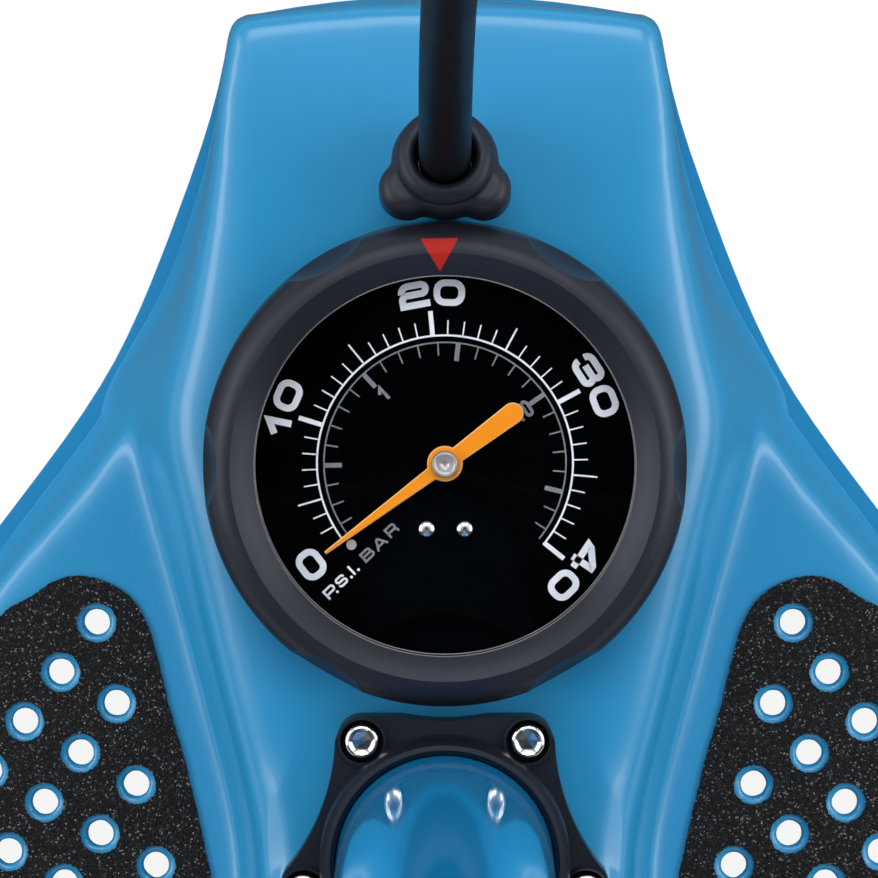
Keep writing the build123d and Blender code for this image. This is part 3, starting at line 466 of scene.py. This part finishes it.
def softbox(name, place, target, size, watts):
    """Rectangular area lamp aimed at a point."""
    data = bpy.data.lights.new(name, "AREA")
    data.shape = "RECTANGLE"
    data.size, data.size_y = size
    data.energy = watts
    lamp = linked(name, data)
    lamp.location = place
    lamp.rotation_euler = (Vector(target) - Vector(place)).to_track_quat("-Z", "Y").to_euler()


def make_lamps():
    """A wide lamp and a strip on each side, one lamp in front and a weak one behind."""
    target = (0, 0.03, 0.05)
    for side in (-1, 1):
        softbox("wide", (1.7 * side, 0.2, 1.35), target, (1.8, 1.9), 8)
        softbox("strip", (1.62 * side, 0.2, 1.1), target, (1.5, 0.7), 11)
    softbox("front", (0, 1.35, 1.75), (0, 0.05, 0.05), (1.8, 0.8), 16)
    softbox("back", (0, -1.8, 1.6), (0, -0.05, 0.2), (1.6, 0.8), 4)


# ---- dial print ---------------------------------------------------------------------------
PRINT_Z = DIAL_TOP + 0.00003
# Strokes take seven layers in turn, so that few of those that cross share a plane
LAYERS = 7
LAYER = 0.000006
STROKE_NUMBERS = itertools.count(1)
PRINT_PARTS = {"light": ([], []), "grey": ([], [])}

# Both scales run clockwise from one zero. Angles are in degrees from +X, radii in mm.
ZERO_ANGLE = 229.9
PSI_STEP = 6.72
BAR_STEP = 97.5
PSI_RING = 23.8
BAR_RING = 22.5

# Outer size, stroke and corner radius of the large numbers, in mm
NUMBER = ((5.85, 4.9), 1.25, 1.5)
NUMBER_RING = 31.75
DIGIT_TURN = 5.95  # from the middle of a two-digit number to each digit, in degrees


def ribbon(points, width, closed=False):
    """Flat strip of a width along a line of 2-D points, with mitred joints; both in mm."""
    n = len(points)
    sides = []
    for i, p in enumerate(points):
        ways = []
        if closed or i:
            ways.append((Vector(p) - Vector(points[i - 1])).normalized())
        if closed or i < n - 1:
            ways.append((Vector(points[(i + 1) % n]) - Vector(p)).normalized())
        normals = [Vector((-way.y, way.x)) for way in ways]
        across = (normals[0] + normals[-1]).normalized()
        across *= width / 2 / max(0.4, across.dot(normals[0]))
        sides.append((Vector(p) + across, Vector(p) - across))
    faces = []
    for i in range(n if closed else n - 1):
        j = (i + 1) % n
        faces.append((2 * i, 2 * i + 1, 2 * j + 1, 2 * j))
    return [q for pair in sides for q in pair], faces


def soften(points, radius, closed=False, steps=8):
    """Rounds a line's corners with true arcs. A point given as (x, y, 0) stays sharp."""
    n, out = len(points), []
    for i, p in enumerate(points):
        if (not closed and i in (0, n - 1)) or len(p) == 3:
            out.append(tuple(p[:2]))
            continue
        a, b, c = Vector(points[i - 1][:2]), Vector(p[:2]), Vector(points[(i + 1) % n][:2])
        u, v = (a - b), (c - b)
        lu = u.length / (2 if closed or i > 1 else 1)
        lv = v.length / (2 if closed or i < n - 2 else 1)
        u.normalize()
        v.normalize()
        half = u.angle(v) / 2
        back = min(radius / math.tan(half), lu * 0.99, lv * 0.99)
        bend = back * math.tan(half)
        middle = b + (u + v).normalized() * (bend / math.sin(half))
        s, e = b + u * back - middle, b + v * back - middle
        sweep = s.angle_signed(e)
        for k in range(steps + 1):
            t = -sweep * k / steps
            turned = Vector((s.x * math.cos(t) - s.y * math.sin(t), s.x * math.sin(t) + s.y * math.cos(t)))
            out.append(tuple(middle + turned))
    clean = [out[0]]
    for q in out[1:]:
        if (Vector(q) - Vector(clean[-1])).length > 0.02:
            clean.append(q)
    return clean


# Each character's lines in a unit square, and whether they close. A third number keeps a point sharp.
GLYPHS = {
    "0": ([[(0, 0), (1, 0), (1, 1), (0, 1)]], True),
    "1": ([[(0.30, 0.62), (0.82, 1.02, 0), (0.82, -0.14)]], False),
    "2": ([[(0, 0.62), (0, 1), (1, 1), (1, 0.53), (0, 0.53), (0, 0, 0), (1.1, 0)]], False),
    "3": ([[(0, 0.66), (0, 1), (1, 1), (1, 0.5), (0.3, 0.5)],
           [(0.3, 0.5), (1, 0.5), (1, 0), (0, 0), (0, 0.34)]], False),
    "4": ([[(1.1, 0.2), (-0.02, 0.2, 0), (0.05, 0.42, 0), (0.62, 1.0, 0), (0.74, 1.0, 0),
            (0.74, -0.14)]], False),
    "P": ([[(0, -0.14), (0, 1, 0), (1, 1), (1, 0.4), (0, 0.4)]], False),
    "S": ([[(1, 0.72), (1, 1), (0, 1), (0, 0.5), (1, 0.5), (1, 0), (0, 0), (0, 0.28)]], False),
    "I": ([[(0.5, -0.14), (0.5, 1.14)]], False),
    "B": ([[(0, 0, 0), (0, 1, 0), (0.95, 1), (0.95, 0.52), (0, 0.52)],
           [(0.5, 0.52), (1.02, 0.52), (1.02, 0), (-0.14, 0)]], False),
    "A": ([[(-0.1, -0.14), (0.42, 1.0), (0.58, 1.0), (1.1, -0.14)],
           [(0.15, 0.27), (0.85, 0.27)]], False),
    "R": ([[(0, -0.14), (0, 1, 0), (1, 1), (1, 0.42), (0, 0.42)],
           [(0.55, 0.42), (1, 0.3), (1, -0.14)]], False),
}


def put(kind, points, faces):
    """Adds one stroke to a print, from millimetres about the dial's centre."""
    verts, all_faces = PRINT_PARTS[kind]
    start = len(verts)
    height = PRINT_Z + (next(STROKE_NUMBERS) % LAYERS) * LAYER
    verts.extend((GAUGE.x + x * MM, GAUGE.y + y * MM, height) for x, y in points)
    all_faces.extend(tuple(start + i for i in f) for f in faces)


def glyph(kind, letter, centre_at, angle, size, stroke, corner):
    """One character: centre and outer size in mm, turned by an angle in degrees."""
    lines, closed = GLYPHS[letter]
    wide, high = size[0] - stroke, size[1] - stroke
    turn = Matrix.Rotation(math.radians(angle), 2)
    for line in lines:
        placed = [((p[0] - 0.5) * wide, (p[1] - 0.5) * high, *p[2:]) for p in line]
        points, faces = ribbon(soften(placed, corner, closed), stroke, closed)
        put(kind, [tuple(turn @ p + Vector(centre_at)) for p in points], faces)


def at(radius, angle):
    """Point at a radius and an angle in degrees."""
    return (radius * math.cos(math.radians(angle)), radius * math.sin(math.radians(angle)))


def psi(value):
    """Angle of a pressure in psi."""
    return ZERO_ANGLE - PSI_STEP * value


def bar(value):
    """Angle of a pressure in bar."""
    return ZERO_ANGLE - BAR_STEP * value


def arc(kind, radius, start, end, width):
    """Arc with a point at about every degree."""
    n = int(abs(end - start))
    points, faces = ribbon([at(radius, start + (end - start) * i / n) for i in range(n + 1)], width)
    put(kind, points, faces)


def tick(kind, angle, low, high, width):
    """Straight mark along a radius."""
    points, faces = ribbon([at(low, angle), at(high, angle)], width)
    put(kind, points, faces)


def print_scales():
    """Arcs and ticks of both scales."""
    arc("light", PSI_RING, psi(1.75), psi(40) - 0.9, 0.36)
    arc("grey", BAR_RING, bar(0.12), psi(40), 0.28)
    for value in range(3, 41):
        ten, five = value % 10 == 0, value % 5 == 0
        width = 0.86 if ten else 0.33 if five else 0.26
        tick("light", psi(value), PSI_RING, 28.45 if five else 26.6, width)
    for tenth in range(2, 28):
        main = tenth % 5 == 0
        tick("grey", bar(tenth / 10), 19.15 if main else 20.1, BAR_RING, 0.86 if main else 0.28)


def print_numbers():
    """Tens of psi, with their digits side by side on a ring, then the single digits."""
    for label, angle in (("10", 162.6), ("20", 94.5), ("30", 27.3), ("40", -40.0)):
        for digit, side in zip(label, (1, -1)):
            where = angle + side * DIGIT_TURN
            glyph("light", digit, at(NUMBER_RING, where), where - 90, *NUMBER)
    for kind, digit, radius, angle, look in (("light", "0", 31.3, 217.3, NUMBER),
                                             ("grey", "1", 17.3, 132.6, ((2.3, 2.9), 0.6, 0.6)),
                                             ("grey", "2", 17.7, 33.9, ((3.4, 2.9), 0.6, 0.8))):
        glyph(kind, digit, at(radius, angle), angle - 90, *look)


def print_units():
    """Unit words along one slanted line, each letter placed by its distance along it and above it."""
    slant = 44.0
    along, above = Vector(at(1, slant)), Vector(at(1, slant + 90))
    for kind, letter, run, lift, wide in (
            ("light", "P", -32.0, -2.45, 2.5), ("light", "S", -29.15, -2.45, 2.15),
            ("light", "I", -26.45, -2.35, 2.0), ("grey", "B", -22.25, -2.25, 2.5),
            ("grey", "A", -19.1, -2.3, 2.45), ("grey", "R", -15.85, -2.1, 2.35)):
        glyph(kind, letter, along * run + above * lift, slant, (wide, 2.05), 0.42, 0.5)
    for run, lift in ((-31.1, -3.4), (-27.3, -3.25), (-25.4, -3.15)):
        dot = [tuple(along * run + above * lift + Vector(at(0.27, a * 30))) for a in range(12)]
        put("light", dot, [tuple(range(12))])


def make_print():
    """The dial's print, as one piece for each scale."""
    print_scales()
    print_numbers()
    print_units()
    for kind, name, material in (("light", "dial_psi_print", PRINT_LIGHT),
                                 ("grey", "dial_bar_print", PRINT_GREY)):
        verts, faces = PRINT_PARTS[kind]
        data = bpy.data.meshes.new(name)
        data.from_pydata(verts, [], faces)
        printed = add(name, data)
        data.materials.append(material)


# ---- helpers for pieces that replace plain solids ---------------------------------------------
def frame_at(origin, way):
    """Placement whose +Z runs along a direction that isn't vertical."""
    z = Vector(way).normalized()
    x = Vector((0, 0, 1)).cross(z).normalized()
    return Matrix.Translation(origin) @ Matrix((x, z.cross(x), z)).transposed().to_4x4()


def turned_piece(name, profile, place, body, slot, replaces=(), steps=160, sharp=35):
    """Piece turned from a profile, as on a lathe."""
    verts, faces = lathe(profile, steps, place)
    return add(name, mesh(name, verts, faces, sharp=sharp), body, slot, replaces)


def islands(node):
    """Centres and corners of a CAD node's separate lumps, in order of y and then x."""
    bm = bmesh.new()
    bm.from_mesh(NODES[node].data)
    bmesh.ops.remove_doubles(bm, verts=bm.verts, dist=WELD)
    left, lumps = set(bm.verts), []
    while left:
        todo, lump = [left.pop()], []
        while todo:
            vert = todo.pop()
            lump.append(vert.co.copy())
            for edge in vert.link_edges:
                other = edge.other_vert(vert)
                if other in left:
                    left.remove(other)
                    todo.append(other)
        low = Vector([min(c[i] for c in lump) for i in range(3)])
        high = Vector([max(c[i] for c in lump) for i in range(3)])
        lumps.append(((low + high) / 2, low, high))
    bm.free()
    return sorted(lumps, key=lambda found: (round(found[0].y, 3), found[0].x))


# ---- foot decks: the holes and the grip tape --------------------------------------------------
# In mm from the barrel's axis, for the right-hand deck
HOLE_START = (65.9, 41.6)
HOLE_STEPS = ((-3.7, -15.4), (6.9, -9.5))
TAPE_HOLE = 3.75  # radius of a hole in the CAD's tape
SHEET_HOLE = 3.78  # radius of a hole in the sheet that replaces it
HOLE_TOLERANCE = 0.4
TAPE_EDGE = [
    (84, 42.8), (78.5, 46.4), (73.5, 49.6), (69, 50.4), (64, 49.3), (59.8, 46.7), (57, 42.8), (55, 37.4),
    (52.1, 25.5), (48.5, 12.5), (44.3, -7.1), (41.2, -28), (42.5, -42), (47, -44.5), (64, -40),
    (88, -32.5), (100, -26.5), (106, -15), (104.5, 2), (97, 19), (90, 33)]
TAPE_LOW, TAPE_HIGH = 22.0, 22.8  # above the floor, at the deck's middle
EDGE_WANDER = 0.13  # how far points of the sheet's edges are moved at random

# The deck slopes about this x, in metres
DECK_MIDDLE = 0.072
DECK_SLOPE = math.tan(math.radians(5))


def hole_spots():
    """Centres of the deck's holes: the lattice points that the grip tape is punched round."""
    tape = NODES["grip_tape_right"]
    spots = []
    for a in range(-9, 9):
        for b in range(-9, 9):
            x, y = ((HOLE_START[k] + a * HOLE_STEPS[0][k] + b * HOLE_STEPS[1][k]) * MM for k in (0, 1))
            y += BARREL.y
            flat = Vector((x, y, TAPE_HIGH * MM - (x - DECK_MIDDLE) * DECK_SLOPE))
            found, where = tape.closest_point_on_mesh(flat)[:2]
            if found and abs((where - flat).length - TAPE_HOLE * MM) < HOLE_TOLERANCE * MM:
                spots += [(x, y), (-x, y)]
    return spots


def smooth_loop(points, steps):
    """Closed curve through points, by Catmull and Rom's rule."""
    n, out = len(points), []
    for i in range(n):
        a, b, c, d = (Vector(points[(i + step) % n]) for step in (-1, 0, 1, 2))
        for k in range(steps):
            t = k / steps
            out.append(b + (c - a) * t / 2 + (a - b * 2.5 + c * 2 - d / 2) * t * t
                       + (b * 3 - a - c * 3 + d) * t ** 3 / 2)
    return out


def grip_sheet(name, side, node, holes):
    """Tape with rounded corners and gritty edges, punched round the deck's holes."""
    rng = np.random.default_rng(11)
    loops = [smooth_loop(TAPE_EDGE, 28)]
    for x, y in holes:
        if x > 0:
            middle = Vector((x, y - BARREL.y)) / MM
            loops.append([middle + Vector(at(SHEET_HOLE, a * 5)) for a in range(72)])
    curve = bpy.data.curves.new(name, "CURVE")
    curve.dimensions = "2D"
    curve.fill_mode = "BOTH"
    curve.extrude = (TAPE_HIGH - TAPE_LOW) / 2 * MM
    for loop in loops:
        line = curve.splines.new("POLY")
        line.points.add(len(loop) - 1)
        for point, place in zip(line.points, loop):
            x, y = place + Vector(rng.uniform(-EDGE_WANDER, EDGE_WANDER, 2))
            point.co = (x * MM, y * MM, 0, 1)
        line.use_cyclic_u = True
    flat = evaluated(linked(name, curve))
    height = (TAPE_LOW + TAPE_HIGH) / 2 * MM
    verts = [(side * v.co.x, v.co.y + BARREL.y, height + v.co.z - (v.co.x - DECK_MIDDLE) * DECK_SLOPE)
             for v in flat.vertices]
    faces = [tuple(f.vertices) for f in flat.polygons]
    add(name, mesh(name, verts, faces, smooth=False, weld=0.000001), "base", "grip_tape", [node])


# ---- the casting, with softly blended edges -------------------------------------------------
# In metres: the remesh's voxel, the middle of the hose's bore seen from above, and the heights between
# which the CAD's own foot of the casting and the fine skin above it overlap
VOXEL = 0.0008
HOSE_BORE = (0, 0.0853)
SKIN_FROM, FOOT_TO = 0.0071, 0.0073
# Rounds of smoothing: for every edge, then again for the upper part
EDGE_ROUNDS, CROWN_ROUNDS = 40, 70


def fade(value, start, end):
    """0 before start, 1 after end, straight between."""
    return np.clip((value - start) / (end - start), 0.0, 1.0)


def points_of(data):
    """A mesh's points as rows of an array."""
    co = np.empty(len(data.vertices) * 3)
    data.vertices.foreach_get("co", co)
    return co.reshape(-1, 3)


def smooth_mesh(data, weight, rounds):
    """Moves each vertex towards its neighbours' mean, by its weight, a number of times."""
    co = points_of(data)
    n = len(co)
    edges = np.empty(len(data.edges) * 2, dtype=np.int64)
    data.edges.foreach_get("vertices", edges)
    a, b = edges.reshape(-1, 2).T
    count = np.bincount(a, minlength=n) + np.bincount(b, minlength=n)
    for _ in range(rounds):
        total = np.empty_like(co)
        for axis in range(3):
            total[:, axis] = np.bincount(a, co[b, axis], n) + np.bincount(b, co[a, axis], n)
        co += (total / count[:, None] - co) * weight[:, None]
    data.vertices.foreach_set("co", co.ravel())
    data.update()


def cut(bm, height, upper):
    """Keeps the part of a mesh above or below a height."""
    bmesh.ops.remove_doubles(bm, verts=bm.verts, dist=WELD)
    bmesh.ops.bisect_plane(bm, geom=bm.verts[:] + bm.edges[:] + bm.faces[:], dist=0.000001,
                           plane_co=(0, 0, height), plane_no=(0, 0, 1), clear_inner=upper,
                           clear_outer=not upper)


def remeshed(node):
    """Fine, even copy of a CAD node's mesh."""
    bm = bmesh.new()
    bm.from_mesh(NODES[node].data)
    bmesh.ops.remove_doubles(bm, verts=bm.verts, dist=WELD)
    welded = bpy.data.meshes.new("welded")
    bm.to_mesh(welded)
    bm.free()
    temp = linked("welded", welded)
    remesh = temp.modifiers.new("remesh", "REMESH")
    remesh.mode = "VOXEL"
    remesh.voxel_size = VOXEL
    data = evaluated(temp)
    bpy.data.meshes.remove(welded)
    return data


def freedom(x, y, z, holes):
    """How freely the skin may be smoothed: little beside holes and bores, and not at all at its foot."""
    rims = [(hole, 0.0038, 0.0052) for hole in holes]
    bores = ((GAUGE, 0.0425), (BARREL, 0.0335), (HOSE_BORE, 0.0105))
    rims += [(spot, bore, bore + 0.003) for spot, bore in bores]
    free = np.ones(len(x))
    for (rim_x, rim_y), inner, outer in rims:
        free = np.minimum(free, np.maximum(fade(np.hypot(x - rim_x, y - rim_y), inner, outer), 0.06))
    return free * fade(z, 0.0076, 0.012)


def casting_foot():
    """The lowest part of the casting as the CAD has it, flat shaded and with no material."""
    source = NODES["base_casting"].data
    data = bpy.data.meshes.new("cast")
    data.from_pydata([v.co for v in source.vertices], [], [list(f.vertices) for f in source.polygons])
    bm = bmesh.new()
    bm.from_mesh(data)
    cut(bm, FOOT_TO, upper=False)
    bm.to_mesh(data)
    bm.free()
    return data


def base_shell(holes):
    """The casting remeshed finely, with its edges and valleys blended as on a painted casting."""
    data = remeshed("base_casting")
    x, y, z = points_of(data).T
    free = freedom(x, y, z, holes)
    smooth_mesh(data, 0.5 * free, EDGE_ROUNDS)
    crown = free * fade(z, 0.0265, 0.0315) * (1 - 0.94 * fade(y, 0.075, 0.1))
    smooth_mesh(data, 0.5 * crown, CROWN_ROUNDS)
    bm = bmesh.new()
    bm.from_mesh(data)
    cut(bm, SKIN_FROM, upper=True)
    for face in bm.faces:
        face.smooth = True
    bm.from_mesh(casting_foot())
    bm.to_mesh(data)
    bm.free()
    data.name = "base_shell"
    data.materials.clear()
    add("base_shell", data, "base", "base_paint", ["base_casting"])


# ---- turned rubber pieces -------------------------------------------------------------------
# Profiles are (radius, distance along the axis) in mm
FOOT = [
    (0.0, 0.6), (2.0, 0.6), (2.4, 0.0), (3.6, 0.0), (4.0, 0.6), (4.8, 0.6), (5.2, 0.0), (6.8, 0.0),
    (7.6, 0.4), (8.0, 1.2), (8.0, 3.4), (7.6, 4.0), (3.0, 4.0), (3.0, 10.0), (0.0, 10.0)]
BUMPER = [
    (6.8, 0.4), (7.2, 0.0), (11.8, 0.0), (12.7, 0.4), (13.0, 1.2), (12.6, 2.2), (12.6, 2.8), (13.0, 3.8),
    (12.8, 5.2), (12.0, 6.0), (7.2, 6.0), (6.8, 5.6)]
GROMMET = [
    (4.1, 0.6), (4.6, 0.0), (5.9, 0.0), (6.15, 0.5), (6.15, 11.0), (5.45, 11.2), (5.45, 24.6), (5.2, 25.0),
    (4.4, 25.0), (4.1, 24.6), (4.1, 16.0), (4.5, 15.4), (4.1, 14.8), (4.1, 9.0), (4.5, 8.4), (4.1, 7.8)]
GRIP_INNER_END = [(8.0, 27.2), (15.0, 27.2), (16.0, 28.0), (16.4, 30.0), (16.0, 32.5), (15.3, 35.0)]
GRIP_OUTER_END = [(15.2, 106.5), (16.4, 110.0), (17.3, 113.0), (17.35, 114.5), (16.6, 116.0), (8.0, 116.0)]
PALM_START, PALM_END = 38.0, 104.0
RING = [(-0.55, 0.0), (-0.1, 0.5), (0.0, 1.2), (0.0, 2.4), (-0.1, 3.1), (-0.55, 3.6)]
RING_PITCH = 4.4


def grip(side, node):
    """Rubber sleeve with rounded rings round the palm and a flared end."""
    profile = list(GRIP_INNER_END)
    run = PALM_START
    while run < PALM_END:
        swell = 15.0 + 1.5 * math.sin(math.pi * (run - PALM_START) / (PALM_END - PALM_START)) ** 2
        profile += [(swell + rise, run + along) for rise, along in RING]
        run += RING_PITCH
    profile += GRIP_OUTER_END
    turned_piece(node.replace("grip_", "grip_sleeve_"), profile, frame_at(HANDLE, (side, 0, 0)), "handle",
                 "grip_rubber", [node], 128)


def foot_pads():
    """Ribbed rubber pads under the base."""
    feet = [turned_piece("foot_pad_%d" % i, FOOT, Matrix.Translation((middle.x, middle.y, 0)), "base",
                         "black_rubber", steps=72)
            for i, (middle, low, high) in enumerate(islands("rubber_feet"))]
    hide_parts("rubber_feet")


def bumper_ring():
    """Rubber ring that the handle lands on."""
    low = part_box("handle_bumper")[0]
    turned_piece("bumper_ring", BUMPER, Matrix.Translation((BARREL.x, BARREL.y, low.z)), "base",
                 "black_rubber", ["handle_bumper"])


def grommet_ring():
    """Rubber sleeve where the hose enters the chuck."""
    low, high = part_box("chuck_grommet")
    middle = (low + high) / 2
    turned_piece("grommet_ring", GROMMET, frame_at((middle.x, high.y, middle.z), (0, -1, 0)), "base",
                 "black_rubber", ["chuck_grommet"], 96)


# ---- screws ---------------------------------------------------------------------------------
def domed_screw(name, spot, top, head, shank, bottom, key):
    """Screw with a rounded head and, when key isn't 0, a hexagonal socket. Heights and radii in mm.

    A ring with a negative radius is hexagonal."""
    radius, height = head
    low = top - height
    start = 0.38 * height
    rise = top - low - start
    flat = key * 1.25 / radius
    rings = [(0.0, bottom), (shank, bottom), (shank, low), (radius * 0.95, low), (radius, low + 0.2)]
    rings += [(radius * (1 - (1 - flat) * t ** 2.2), low + start + rise * math.sin(t * math.pi / 2))
              for t in (0, 0.2, 0.4, 0.55, 0.7, 0.85, 1)]
    if key:
        floor = low + 0.3 * height
        rings += [(key * 1.1, top - 0.12), (-key, top - 0.3), (-key, floor), (-key * 0.5, floor - 0.05),
                  (0.0, floor - 0.1)]
    steps, verts, faces = 60, [], []
    for ring, z in rings:
        for i in range(steps):
            turn = 2 * math.pi * i / steps
            six = math.cos(math.pi / 6) / math.cos(turn % (math.pi / 3) - math.pi / 6)
            r = ring if ring >= 0 else -ring * six
            verts.append((spot[0] + r * math.cos(turn) * MM, spot[1] + r * math.sin(turn) * MM, z * MM))
    for k in range(len(rings) - 1):
        for i in range(steps):
            j = (i + 1) % steps
            faces.append((k * steps + i, k * steps + j, (k + 1) * steps + j, (k + 1) * steps + i))
    return add(name, mesh(name, verts, faces, sharp=32, weld=0.000002), "base", "screw_chrome")


def screws(node, head, shank, key):
    """Domed screws in place of a CAD node's lumps."""
    made = [domed_screw("%s_%d" % (node[:-1], i), middle.to_2d(), high.z / MM, head, shank, low.z / MM, key)
            for i, (middle, low, high) in enumerate(islands(node))]
    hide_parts(node)


# ---- small pieces of the gauge --------------------------------------------------------------
NEEDLE_BEVEL = 0.0002
NEEDLE_TURN = math.radians(1.2)
CAP = [
    (0.9, 0.0), (2.5, 0.0), (2.5, 1.35), (2.42, 1.6), (2.25, 1.75), (2.0, 1.8), (1.8, 1.75), (1.65, 1.62),
    (1.45, 1.6), (0.75, 1.6), (0.62, 1.52), (0.5, 1.4), (0.0, 1.4), (0.0, 1.22), (0.9, 1.22)]


def needle_blade():
    """The needle with a thin bevel along its upper edges, coloured paler as a painted highlight, and turned
    a little from its place in the CAD.

    The turn makes it point at the print's zero."""
    bm = bmesh.new()
    bm.from_mesh(NODES["needle"].data)
    bmesh.ops.remove_doubles(bm, verts=bm.verts, dist=WELD)
    bmesh.ops.dissolve_limit(bm, angle_limit=0.01, verts=bm.verts, edges=bm.edges)
    top = max(v.co.z for v in bm.verts)
    rim = [e for e in bm.edges if all(abs(v.co.z - top) < 0.000001 for v in e.verts)
           and abs(sum(f.normal.z for f in e.link_faces) - 1) < 0.1
           and min((v.co.to_2d() - GAUGE).length for v in e.verts) > 0.0015]
    # The bevel's faces take the second material, a paler orange that is a painted highlight
    made = bmesh.ops.bevel(bm, geom=rim, offset=NEEDLE_BEVEL, segments=1, affect="EDGES")
    for face in made["faces"]:
        face.material_index = 1
    bmesh.ops.rotate(bm, cent=(GAUGE.x, GAUGE.y, 0), matrix=Matrix.Rotation(NEEDLE_TURN, 3, "Z"),
                     verts=bm.verts)
    data = bpy.data.meshes.new("needle_blade")
    bm.to_mesh(data)
    bm.free()
    add("needle_blade", data, "needle", "needle_paint", ["needle"])
    data.materials.append(NEEDLE_HIGHLIGHT)


def needle_cap():
    """Turned cap over the needle's hub, with a shallow dish."""
    place = Matrix.Translation((GAUGE.x, GAUGE.y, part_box("needle_cap")[0].z))
    cap = turned_piece("needle_cap_turned", CAP, place, "needle", "screw_chrome", ["needle_cap"], 96, 50)
    cap.data.materials[0] = TURNED_METAL


def lens_reflections():
    """Thin grey rings round the lens, a painted reflection of its edges: one turns with the bezel, one
    stays with the base.
    """
    for name, radius, height, body in (("lens_reflection_upper", 35.37, 54.42, "bezel"),
                                       ("lens_reflection_lower", 35.25, 51.44, "base")):
        tube = []
        for eighth in range(8):
            turn = eighth * math.pi / 4
            tube.append((radius + 0.12 * math.cos(turn), height + 0.12 * math.sin(turn)))
        place = Matrix.Translation((GAUGE.x, GAUGE.y, 0))
        piece = turned_piece(name, tube, place, body, "black_casting", steps=240)
        piece.data.materials[0] = LENS_REFLECTION


# ---- hose boot ------------------------------------------------------------------------------
EXIT = Vector((0, 0.0883, 0.056))
EXIT_TILT = math.radians(18)
BOOT = [
    (5.7, -0.5), (5.7, 0.2), (5.8, 0.55), (6.05, 0.85), (6.45, 1.03), (6.9, 1.08), (7.4, 1.0), (8.0, 0.78),
    (8.5, 0.42), (8.9, -0.1), (9.12, -0.7), (9.2, -1.2), (9.15, -1.9), (9.0, -2.38), (8.0, -2.4),
    (8.0, -6.5), (4.9, -6.5), (4.9, -5.5), (5.3, -3.0)]


def boot_ring():
    """Rounded ring that the hose leaves through."""
    place = frame_at(EXIT, (0, math.sin(EXIT_TILT), math.cos(EXIT_TILT)))
    turned_piece("boot_ring", BOOT, place, "base", "black_casting", ["hose_boot"], 192)


# ---- making ---------------------------------------------------------------------------------
bpy.context.scene.view_settings.view_transform = "Standard"
dress_nodes()
make_camera()
hose = make_hose()
make_floor()
make_world()
make_lamps()
make_print()

# The holes are found on the CAD's tape, so before a sheet replaces it
holes = hole_spots()
grip_sheet("grip_sheet_right", 1, "grip_tape_right", holes)
grip_sheet("grip_sheet_left", -1, "grip_tape_left", holes)
base_shell(holes)
grip(1, "grip_right")
grip(-1, "grip_left")
foot_pads()
bumper_ring()
screws("collar_screws", (3.5, 4.0), 1.95, 2.0)
screws("dial_screws", (1.75, 1.9), 0.8, 0.0)
needle_blade()
needle_cap()
boot_ring()
grommet_ring()
lens_reflections()
